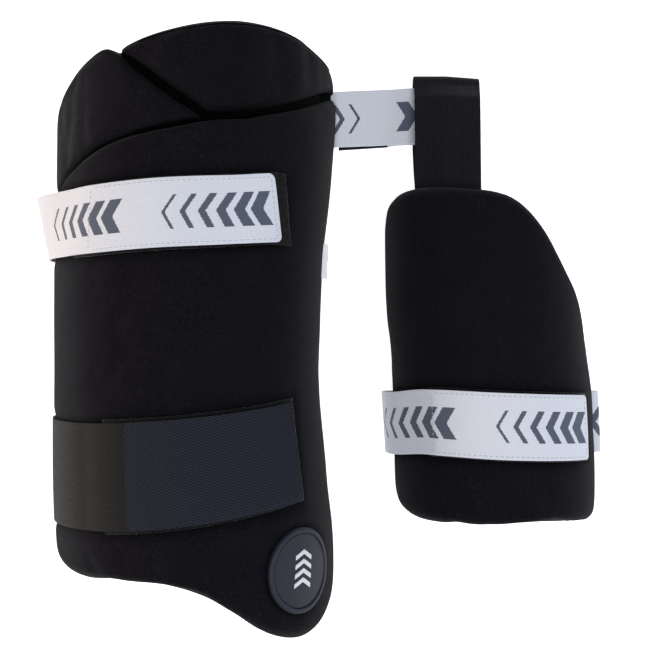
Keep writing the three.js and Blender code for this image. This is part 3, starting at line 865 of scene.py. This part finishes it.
def pile_effect():
    """A dense tangle of short fibres."""
    group, given, result = effect_group(
        "pile_effect", {"Lay": "Vector", "Scale": "Float"}, ["Height", "Shade"]
    )
    own = {"Vector": given["Lay"], "Scale": given["Scale"]}
    pile = node_in(group, "ShaderNodeTexVoronoi", own).outputs["Distance"]
    mat = noise_at(group, given["Lay"], maths(group, "DIVIDE", given["Scale"], 3.0), 3)
    tangle = times(group, pile, mat)
    return put_out(group, result, {"Height": tangle, "Shade": times(group, tangle, 1.6)})


tangled_pile = pile_effect()


def pile_tape(name, scale, dark, light, relief):
    """Hook or loop pile on a woven tape."""
    material, shader = cloth_material(name, 0.95, 0.25, 0.06)
    tree = material.node_tree
    place = node_in(tree, "ShaderNodeTexCoord").outputs["Object"]
    own = {"Lay": place, "Scale": scale}
    pile = node_in(tree, "ShaderNodeGroup", own, node_tree=tangled_pile).outputs
    coloured(tree, shader, pile["Shade"], dark, light)
    raised(tree, shader, pile["Height"], relief)
    return material


loop_pile = pile_tape("loop_pile", 1500, (0.0030, 0.0030, 0.0034, 1), (0.016, 0.016, 0.018, 1), 0.0006)
hook_pile = pile_tape("hook_pile", 800, (0.0040, 0.0040, 0.0045, 1), (0.022, 0.022, 0.025, 1), 0.0008)

for label, strap in straps.items():
    places = ("patch_start", "patch_end", "hook_start", "tip")
    start, end, hook_start, tip = (strap[place] * strap["guard"].half_arc for place in places)
    front_tape(
        f"{label}_loop_tape", f"{label}_loop_patch", loop_pile, strap, start, end,
        2 * strap["border"], clear + loop_tape / 2, loop_tape,
    )
    front_tape(
        f"{label}_hook_strip", f"{label}_hook_tape", hook_pile, strap, hook_start, tip - hook_in,
        -hook_in / 2, 2 * clear + loop_tape + hook_tape / 2, hook_tape,
    )

# ---------------------------------------------------------------------------------------------
# Leg straps: flat woven elastic, two white ones with a slate woven pattern and a wide black one.
# Each is sewn to one rim, goes under the guard and round the other rim, and grips its loop patch.
foot_bend, run_height, soft_edge, facet = 0.004, elastic / 2, 0.00035, math.radians(7.5)
hem_reach, hem_height, hem_end, hem_tuck = 0.0046, 0.0056, 0.0035, 0.004
climb, patch_ahead, hook_ahead, front_pitch, foot_pitch = 0.014, 0.001, 0.0015, 0.0012, 0.002
bare_lift = clear + elastic / 2
over_patch_lift = bare_lift + clear + loop_tape
over_hook_lift = over_patch_lift + clear + hook_tape
stand_off_way = [(-1.0, 1.0), (-0.82, 0.96), (-0.65, 0.42), (-0.48, 0.0), (1.0, 0.0)]
across_shares = np.linspace(-0.5, 0.5, 25)


def turn(x, z, bend, start, end, steps=8):
    """Points on an arc of a strap in the plane across the leg."""
    angles = np.radians(np.linspace(start, end, steps + 1))
    return np.stack((x + bend * np.cos(angles), z + bend * np.sin(angles)), axis=1)


def under_way(guard, y, stand_off, sewn_outside):
    """The way of a leg strap from the foot of one rim, under the guard, to its sewn end."""
    middle, radius = (float(v) for v in guard.section(y))
    left = middle - (radius + bare_lift + stand_off) * math.sin(guard.rim)
    foot = turn(left + foot_bend, run_height + foot_bend, foot_bend, 180, 270)
    if sewn_outside:
        bend = (hem_height - run_height) / 2
        right = middle + radius * math.sin(guard.rim) + hem_reach
        fold = turn(right - bend, run_height + bend, bend, -90, 90, 12)
        return np.concatenate((foot, fold, [(right - hem_reach - hem_tuck, hem_end)]))
    reach = radius - foam - seam_gap - lining_cloth - clear - elastic / 2
    rise = turn(middle + reach - foot_bend, run_height + foot_bend, foot_bend, 270, 360)
    angles = guard.rim - facet * np.linspace(1, 3, 8)
    wall = np.stack((middle + reach * np.sin(angles), guard.axis + reach * np.cos(angles)), axis=1)
    return np.concatenate((foot, rise, wall))


def runs_of(net):
    """How far along its middle line each row of a net lies."""
    middle = net[:, net.shape[1] // 2]
    return np.concatenate(([0], np.cumsum(np.linalg.norm(np.diff(middle, axis=0), axis=1))))


def evened(net, pitch):
    """A net with its rows spaced evenly along its middle line, and the runs of those rows."""
    runs = runs_of(net)
    even = np.linspace(0, runs[-1], int(runs[-1] / pitch) + 1)
    flat = net.reshape(len(net), -1)
    spaced = np.stack([np.interp(even, runs, column) for column in flat.T], axis=1)
    return spaced.reshape(len(even), *net.shape[1:]), even


def leg_strap_net(strap, sewn_outside):
    """The middle of a leg strap from its front end to its sewn end, and its runs and widths."""
    guard, width, corner = strap["guard"], strap["width"], strap["corner"]
    half = guard.half_arc
    tip, patch, hook = strap["tip"] * half, strap["patch_start"] * half, strap["hook_start"] * half
    lifts = [
        (-half, bare_lift),
        (patch - climb, bare_lift),
        (patch - patch_ahead, over_patch_lift),
        (hook - hook_ahead, over_hook_lift),
        (tip, over_hook_lift),
    ]
    start = -half + guard.radius * facet / 2
    ends = tip - corner * (1 - np.cos(np.radians(np.arange(0, 90, 10))))
    front_sides = np.linspace(tip - corner, start, int((tip - start) / front_pitch))
    sides = np.concatenate((ends, front_sides))[:, None]
    back = np.clip((tip - sides) / corner, 0, 1)
    trim = corner * (1 - np.sqrt(1 - (1 - back) ** 2))
    across = across_shares * (width * narrowed_by(strap, sides) - 2 * trim)
    stood = np.maximum(0, through(stand_off_way, sides, half))
    stand_off = strap["stand_off"] + strap["stand_off_tilt"] * across_shares
    lift = np.clip(through(lifts, sides), bare_lift, over_hook_lift) + stood * stand_off
    slid = sides + slide(sides, tip, strap["slant"] * across)
    front = guard.place(slid, guard.edge(strap["way"], sides) + across, lift)
    under = []
    for share, off in zip(across_shares, stand_off):
        y = float(guard.edge(strap["way"], -half)) + share * width
        way = under_way(guard, y, off, sewn_outside)
        level = np.full(len(way), guard.middle[1] + y)
        under.append(np.column_stack((guard.middle[0] + way[:, 0], level, way[:, 1])))
    foot, _ = evened(np.concatenate((front[-1:], np.stack(under, axis=1))), foot_pitch)
    net = np.concatenate((front, foot[1:]))
    widths = np.concatenate((across, np.tile(across_shares * width, (len(foot) - 1, 1))))
    return net, runs_of(net), widths


def weave_effect():
    """Woven tape: ribs along it and slanted yarns across them, which fold back for a herringbone."""
    group, given, result = effect_group(
        "weave_effect",
        {"Lay": "Vector", "Rib": "Float", "Yarn": "Float", "Slant": "Float", "Fold": "Float"},
        ["Height", "Shade"],
    )
    along, across = node_in(group, "ShaderNodeSeparateXYZ", {0: given["Lay"]}).outputs[:2]
    folded = maths(group, "PINGPONG", plus(group, across, 1.0), given["Fold"])
    slanted = plus(group, along, times(group, folded, given["Slant"]))
    ribs, yarns = (
        wave(group, maths(group, "DIVIDE", times(group, place, math.pi), given[pitch]))
        for place, pitch in ((across, "Rib"), (slanted, "Yarn"))
    )
    height = plus(group, times(group, ribs, 0.5), times(group, yarns, 0.5))
    uneven = noise_at(group, given["Lay"], 700, 3)
    shade = plus(group, times(group, height, 0.7), times(group, uneven, 0.3))
    return put_out(group, result, {"Height": height, "Shade": shade})


weave = weave_effect()


def woven(tree, rib, yarn, slant=0.0, fold=10.0):
    """A placed weave effect that follows the piece's UV map."""
    place = node_in(tree, "ShaderNodeUVMap").outputs[0]
    own = {"Lay": place, "Rib": rib, "Yarn": yarn, "Slant": slant, "Fold": fold}
    cloth = node_in(tree, "ShaderNodeGroup", own, node_tree=weave).outputs
    return place, cloth["Height"], cloth["Shade"]


def chevron_effect():
    """A woven repeat of chevrons that get thinner along the strap, in steps of one yarn."""
    group, given, result = effect_group(
        "chevron_effect",
        {"Lay": "Vector", "Repeat": "Float", "Band": "Float", "Start": "Float"},
        ["Mask"],
    )
    yarn, pitch, slope = 0.0005, 0.0112, 0.62
    widest, thinner, chevrons_in_row = 0.0079, 0.0012, 5.5
    part = node_in(group, "ShaderNodeSeparateXYZ", {0: given["Lay"]}).outputs
    along = maths(group, "SNAP", maths(group, "SUBTRACT", part[0], given["Start"]), yarn)
    across = maths(group, "SNAP", maths(group, "ABSOLUTE", part[1]), yarn)
    pointed = plus(group, along, times(group, across, slope))
    place = maths(group, "FLOORED_MODULO", pointed, given["Repeat"])
    number = maths(group, "FLOOR", maths(group, "DIVIDE", place, pitch))
    within = maths(group, "SUBTRACT", place, times(group, number, pitch))
    bar = maths(group, "SUBTRACT", widest, times(group, number, thinner))
    in_row = maths(group, "LESS_THAN", number, chevrons_in_row)
    inked = times(group, maths(group, "LESS_THAN", within, bar), in_row)
    banded = maths(group, "LESS_THAN", across, given["Band"])
    return put_out(group, result, {"Mask": times(group, inked, banded)})


chevrons = chevron_effect()


def white_elastic_material(name, start):
    """White woven elastic with its slate pattern."""
    material, shader = cloth_material(name, 0.8, 0.2, 0.25)
    tree = material.node_tree
    place, height, shade = woven(tree, 0.00115, 0.0008)
    own = {"Lay": place, "Repeat": 0.087, "Band": 0.0094, "Start": start}
    pattern = node_in(tree, "ShaderNodeGroup", own, node_tree=chevrons).outputs["Mask"]
    white = blend_of(tree, shade, (0.58, 0.59, 0.66, 1), (0.78, 0.79, 0.86, 1))
    slate = blend_of(tree, shade, (0.062, 0.074, 0.105, 1), (0.110, 0.126, 0.170, 1))
    coloured(tree, shader, pattern, white, slate)
    raised(tree, shader, height, 0.00022, 0.8)
    return material


def black_elastic_material(bare_from):
    """Black elastic: fine ribs on its bare length, a diagonal twill where it is doubled."""
    material, shader = cloth_material("black_elastic", 0.8, 0.10, 0.1)
    tree = material.node_tree
    place, ribbed, rib_shade = woven(tree, 0.0013, 0.0009)
    _, twilled, twill_shade = woven(tree, 10.0, 0.0036, -2.2)
    along = node_in(tree, "ShaderNodeSeparateXYZ", {0: place}).outputs[0]
    bare = maths(tree, "GREATER_THAN", along, bare_from)
    rib_colour = blend_of(tree, rib_shade, (0.002, 0.002, 0.002, 1), (0.018, 0.018, 0.017, 1))
    twill_colour = blend_of(tree, twill_shade, (0.0015, 0.002, 0.0035, 1), (0.042, 0.047, 0.066, 1))
    coloured(tree, shader, bare, twill_colour, rib_colour)
    doubled = maths(tree, "SUBTRACT", 1.0, bare)
    raised(tree, shader, plus(tree, times(tree, ribbed, bare), times(tree, twilled, doubled)), 0.0003)
    return material


def thread_material(name, dark, light):
    """Twisted sewing thread."""
    return grained_material(name, (0.6, 0.1, 0.3), 2500, 2, dark, light, 0.0001)


# The white thread is darker than the white elastic: painted shade of the stitch holes, so the stitches
# read as dark dashes.
white_thread_painted_shade = thread_material("white_thread_painted_shade", (0.36, 0.36, 0.42, 1), (0.60, 0.60, 0.66, 1))
black_thread = thread_material("black_thread", (0.006, 0.006, 0.007, 1), (0.016, 0.017, 0.020, 1))


def share_at(places, value):
    """The row before a value in a rising list, and the share of the way to the next row."""
    row = float(np.interp(value, places, np.arange(len(places))))
    before = min(int(row), len(places) - 2)
    return before, row - before


def point_on(net, runs, widths, run, across, lift):
    """A point over a strap, with its directions along, across and out of the strap."""
    k, t = share_at(runs, run)
    line = (1 - t) * net[k] + t * net[k + 1]
    j, s = share_at((1 - t) * widths[k] + t * widths[k + 1], across)
    along = Vector(net[k + 1, j] - net[k, j]).normalized()
    over = Vector(line[j + 1] - line[j]).normalized()
    out = over.cross(along).normalized()
    return Vector((1 - s) * line[j] + s * line[j + 1]) + out * lift, along, over, out


stitch_pitch, stitch_length, stitch_width, stitch_height = 0.0031, 0.0021, 0.00060, 0.00052


def stitched(name, strap_lay, lines, lift, material, slot):
    """Rows of lockstitch along lines on a strap: one stitch, copied and joined."""
    bpy.ops.mesh.primitive_uv_sphere_add(segments=6, ring_count=5, radius=1)
    stitch = bpy.context.object
    bpy.ops.object.mode_set(mode="EDIT")
    bpy.ops.mesh.select_all(action="SELECT")
    bpy.ops.transform.resize(value=(stitch_length / 2, stitch_width / 2, stitch_height / 2))
    bpy.ops.object.mode_set(mode="OBJECT")
    copies = []
    for run_a, across_a, run_b, across_b in lines:
        ahead, aslant = run_b - run_a, across_b - across_a
        span = math.hypot(ahead, aslant)
        for k in range(max(1, int(span / stitch_pitch))):
            t = (k + 0.5) * stitch_pitch / span
            run, across = run_a + ahead * t, across_a + aslant * t
            middle, along, over, out = point_on(*strap_lay, run, across, lift)
            way = (along * ahead + over * aslant).normalized()
            turned = Matrix((way, out.cross(way).normalized(), out)).transposed().to_4x4()
            copy = stitch.copy()
            copy.data = stitch.data.copy()
            copy.data.transform(Matrix.Translation(middle) @ turned)
            bpy.context.collection.objects.link(copy)
            copies.append(copy)
    bpy.data.objects.remove(stitch)
    bpy.ops.object.select_all(action="DESELECT")
    for copy in copies:
        copy.select_set(True)
    bpy.context.view_layer.objects.active = copies[0]
    bpy.ops.object.join()
    bpy.context.object.name = name
    bpy.ops.object.shade_smooth()
    fitted(bpy.context.object, material, slot)


front, edge_in = 0.0028, 0.0019
seam_runs = {"upper": 0.1139, "lower": 0.1045, "inner": 0.1045}
strap_looks = {
    "upper": ("white_elastic", white_elastic_material("white_elastic_upper", 0.010), white_thread_painted_shade),
    "lower": ("black_elastic", black_elastic_material(seam_runs["lower"]), black_thread),
    "inner": ("white_elastic", white_elastic_material("white_elastic_inner", 0.008), white_thread_painted_shade),
}
for label, strap in straps.items():
    slot, material, thread = strap_looks[label]
    net, runs, widths = lay = leg_strap_net(strap, label == "inner")
    band = cloth_sheet(f"{label}_elastic", net, runs, widths, elastic, soft_edge)
    fitted(band, material, slot, f"{label}_strap")
    seam = seam_runs[label]
    reach, seam_reach = (float(np.interp(run, runs, widths[:, -1])) - edge_in for run in (front, seam))
    rows = [
        (front, -reach, front, reach),
        (seam, -seam_reach, seam, seam_reach),
        (front, reach, seam, seam_reach),
        (front, -reach, seam, -seam_reach),
    ]
    stitched(f"{label}_elastic_stitches", lay, rows, elastic / 2, thread, slot)

# ---------------------------------------------------------------------------------------------
# Waist strap: white elastic sewn inside the outer guard's rim. It leaves under the rim, runs round
# inside the belt loop and comes back under itself, where a strip of hook tape holds it.
waist_height, waist_width, waist_rise, waist_skew = 0.3845 * outer.length, 0.036, 0.04, 0.0016
guard_spacing, belt_set_off, belt_webbing = 0.188, 0.046, 0.0014
waist_end_gap, waist_ramp, waist_end_run, waist_fold = 0.0025, 0.007, 0.001, 0.032
waist_tape_share, loop_room, band_pitch = 0.628, 0.0019, 0.0015
waist_middle, waist_radius = (float(v) for v in outer.section(waist_height))
waist_rim = waist_middle + waist_radius
belt_left = guard_spacing - belt_set_off
waist_span = belt_left - waist_rim
waist_tape = waist_tape_share * waist_span
top_low = elastic + 3 * clear + hook_tape + elastic / 2
in_loop = belt_webbing + clear + elastic / 2
top_high = in_loop + elastic + loop_room


def waist_strap_net():
    """The middle of the waist strap from its sewn end to its free end."""
    reach = waist_radius - foam - seam_gap - lining_cloth - clear - elastic / 2
    angles = facet * np.linspace(3, 1, 8) - math.pi / 2
    wall_x, wall_z = waist_middle + reach * np.sin(angles), outer.axis + reach * np.cos(angles)
    wall = np.stack((wall_x, wall_z), axis=1)
    foot = turn(waist_middle - reach + foot_bend, run_height + foot_bend, foot_bend, 180, 270)
    bend = (top_high - in_loop) / 2
    fold = turn(belt_left + waist_fold, in_loop + bend, bend, 90, -90, 12)
    tape_start, tape_end = waist_rim + waist_end_gap, waist_rim + waist_end_gap + waist_tape
    out = [
        (waist_rim - waist_ramp, run_height),
        (tape_start - waist_end_run, top_low),
        (tape_end, top_low),
        (belt_left - 0.04 * waist_span, top_high),
    ]
    back = [
        (belt_left - 0.08 * waist_span, in_loop),
        (belt_left - 0.26 * waist_span, run_height),
        (tape_end, run_height),
        (tape_start, run_height),
    ]
    way = np.concatenate((wall, foot, out, fold, back))
    returns = np.zeros((len(way), 1))
    returns[-2:, 0] = waist_skew / 2, waist_skew
    rise = waist_height + (way[:, :1] - waist_rim) * waist_rise
    y = rise - returns + across_shares * waist_width
    x = np.broadcast_to(outer.middle[0] + way[:, :1], y.shape)
    z = np.broadcast_to(way[:, 1:], y.shape)
    return evened(np.stack((x, outer.middle[1] + y, z), axis=-1), band_pitch)


waist_net, waist_runs = waist_strap_net()
waist_band = cloth_sheet(
    "waist_elastic", waist_net, waist_runs, across_shares * waist_width, elastic, soft_edge
)
fitted(waist_band, white_elastic_material("white_elastic_waist", 0.058), "white_elastic", "waist_strap")

tape_x = np.linspace(0, waist_tape, 20)[:, None]
tape_across = np.linspace(-0.5, 0.5, 13) * waist_width
tape_y = waist_height + (waist_end_gap + tape_x) * waist_rise
tape_y = tape_y - waist_skew * (1 - tape_x / waist_tape / 2) + tape_across
tape_net = np.stack(
    np.broadcast_arrays(
        outer.middle[0] + waist_rim + waist_end_gap + tape_x,
        outer.middle[1] + tape_y,
        elastic + clear + hook_tape / 2,
    ),
    axis=-1,
)
waist_hooks = cloth_sheet("waist_hook_strip", tape_net, tape_x, tape_across, hook_tape, tape_edge)
fitted(waist_hooks, hook_pile, "hook_and_loop", "waist_hook_tape")

# ---------------------------------------------------------------------------------------------
# Belt loop: black herringbone webbing. Both of its ends are sewn into the top seam of the inner
# guard, and it is folded over the waist strap.
belt_width, belt_reach, fold_bend, fold_lean = 0.042, 0.1655, 0.0057, 0.0032
seam_share, narrowing, seam_tuck = 0.93, 0.07, 0.0022
seam_rise_start, seam_rise_end = 0.336 * inner.radius, 0.552 * inner.radius
belt_slope = [(0.00, 1.00), (0.30, 0.80), (0.62, 0.62), (0.86, 0.40)]


def belt_loop_net():
    """The middle of the belt loop from the seam, over its fold and back to the seam."""
    fold_y = belt_reach - fold_bend - belt_webbing / 2
    fold_top = belt_webbing / 2 + 2 * fold_bend
    lines = []
    for part in np.linspace(0, 1, len(across_shares)):
        drop = fold_lean * max(0.0, part - 0.5)
        x = part * belt_width * seam_share - belt_set_off
        base = seam_rise_start + (seam_rise_end - seam_rise_start) * math.sin(part * math.pi / 2)
        sewn_radii = inner.radius - np.array([foam / 2, foam + lining_cloth])
        sides = inner.radius * np.arcsin(np.maximum(-1, x / sewn_radii))
        seam = 2 * clear + float(np.max(inner.edge(inner_top_edge, sides)))
        out = np.linspace(0, belt_slope[-1][0], 24)
        height = through(belt_slope, out)
        front_y = seam + (fold_y - drop - seam) * out
        way = np.stack((front_y, fold_top + (base - fold_top) * height), axis=1)
        fold = turn(fold_y - drop, belt_webbing / 2 + fold_bend, fold_bend, 90, -90, 14)
        back = [
            (seam + 0.030, belt_webbing / 2),
            (seam + 0.014, (base - seam_tuck) * 0.45),
            (seam, base - seam_tuck),
        ]
        narrowed = np.concatenate((height, np.zeros(len(fold) + 2), [1.0]))
        way = np.concatenate((way, fold, back))
        across = part * belt_width * (1 - narrowing * narrowed) - belt_set_off
        line_x, line_y = inner.middle[0] + across, inner.middle[1] + way[:, 0]
        lines.append(np.stack((line_x, line_y, way[:, 1]), axis=1))
    return evened(np.stack(lines, axis=1), band_pitch)


def woven_material(name, gloss, weave_values, dark, light, relief, contrast=1.0):
    """A plain woven material. Its gloss is its roughness, sheen and specular level."""
    material, shader = cloth_material(name, *gloss)
    tree = material.node_tree
    _, height, shade = woven(tree, *weave_values)
    coloured(tree, shader, maths(tree, "POWER", shade, contrast), dark, light)
    raised(tree, shader, height, relief)
    return material


belt_net, belt_runs = belt_loop_net()
belt = cloth_sheet(
    "belt_loop_webbing", belt_net, belt_runs, across_shares * belt_width, belt_webbing, soft_edge
)
belt_cloth = woven_material(
    "belt_webbing", (0.8, 0.05, 0.1), (0.0012, 0.0014, 0.9, 0.0105),
    (0.0006, 0.0006, 0.0008, 1), (0.056, 0.056, 0.068, 1), 0.0004, 4.0,
)
fitted(belt, belt_cloth, "belt_webbing", "belt_loop")

# ---------------------------------------------------------------------------------------------
# Badge: a round moulded rubber disc, glued to the knee end of the outer guard and bent to it. It
# has a raised rim, a fine groove inside the rim and a plain white emblem of four chevrons.
badge_gap, emblem_height, emblem_thickness, emblem_edge = 0.0003, 0.0022, 0.0007, 0.00015
chevron_half, chevron_slope, chevron_tilt = 0.0066, 0.55, math.radians(8)
chevron_places, chevron_edges = (0.0110, 0.0056, 0.0002, -0.0052), (-0.0013, -0.0004, 0.0004, 0.0013)
badge_profile = [(0.002 * k, 0.0018) for k in range(11)]
badge_profile += [
    (0.0212, 0.0018), (0.0215, 0.0013), (0.0218, 0.0013), (0.0222, 0.0024), (0.0227, 0.0026),
    (0.0241, 0.0026), (0.0247, 0.0023), (0.0250, 0.0017),
    (0.0250, 0.0), (0.0200, 0.0), (0.0120, 0.0), (0.0, 0.0),
]
profile_mesh = bpy.data.meshes.new("badge_disc")
profile_edges = [(k, k + 1) for k in range(len(badge_profile) - 1)]
profile_mesh.from_pydata([(reach, 0, height) for reach, height in badge_profile], profile_edges, [])
disc = made_active("badge_disc", profile_mesh)
bpy.ops.object.mode_set(mode="EDIT")
bpy.ops.mesh.select_all(action="SELECT")
bpy.ops.mesh.spin(steps=96, angle=math.tau, center=(0, 0, 0), axis=(0, 0, 1))
bpy.ops.mesh.select_all(action="SELECT")
bpy.ops.mesh.remove_doubles(threshold=0.00001)
bpy.ops.mesh.normals_make_consistent(inside=False)
bpy.ops.object.mode_set(mode="OBJECT")
flat_x, flat_y, flat_z = points_of(disc).T
bent = outer.place(badge_side + flat_x, badge_up + flat_y, badge_gap + flat_z)
disc.data.vertices.foreach_set("co", bent.ravel())
bpy.ops.object.shade_smooth_by_angle(angle=math.radians(35))


def rubber_material(name, dark, light):
    """Moulded rubber with a fine matt grain."""
    return grained_material(name, (0.6, 0.0, 0.35), 1200, 4, dark, light, 0.00012)


badge_rubber = rubber_material("badge_rubber", (0.011, 0.0125, 0.021, 1), (0.020, 0.0225, 0.036, 1))
emblem_white = rubber_material("emblem_white", (0.66, 0.66, 0.70, 1), (0.84, 0.84, 0.88, 1))
fitted(disc, badge_rubber, "badge_rubber", "badge")
for number, up in enumerate(chevron_places):
    spread = np.linspace(-chevron_half, chevron_half, 17)[:, None]
    rise = up - chevron_slope * np.abs(spread) + np.array(chevron_edges)
    emblem_side = badge_side + spread * math.cos(chevron_tilt) + rise * math.sin(chevron_tilt)
    emblem_up = badge_up + rise * math.cos(chevron_tilt) - spread * math.sin(chevron_tilt)
    emblem_net = outer.place(emblem_side, emblem_up, np.full(rise.shape, emblem_height))
    name = f"badge_chevron_{number + 1}"
    chevron = cloth_sheet(name, emblem_net, spread, rise, emblem_thickness, emblem_edge)
    fitted(chevron, emblem_white, "badge_rubber")

# ---------------------------------------------------------------------------------------------
# Side label: a blank white woven tab, folded double and sewn to the outside of the outer guard.
# Its free end stands a little off the cover.
label_root, label_up = 0.885 * outer_rim, 0.127 * outer.length
label_width, label_drop, label_cloth = 0.022, 0.013, 0.0008
label_gap, label_free, label_ripple, ripples = 0.0006, 0.0018, 0.0003, 500
label_way = np.linspace(0, 1, 15)[:, None]
label_across = np.linspace(-0.5, 0.5, 21) * label_width
label_lift = label_gap + label_way * (label_free + label_ripple * np.sin(label_across * ripples))
label_net = outer.place(label_root + label_drop * label_way, label_up + label_across, label_lift)
label_runs = label_way * label_drop
side_tab = cloth_sheet("side_tab", label_net, label_runs, label_across, label_cloth, tape_edge)
label_weave = woven_material(
    "label_weave", (0.7, 0.1, 0.25), (0.0006, 0.0006),
    (0.90, 0.90, 0.92, 1), (0.98, 0.98, 0.99, 1), 0.00015,
)
fitted(side_tab, label_weave, "label_cloth", "side_label")
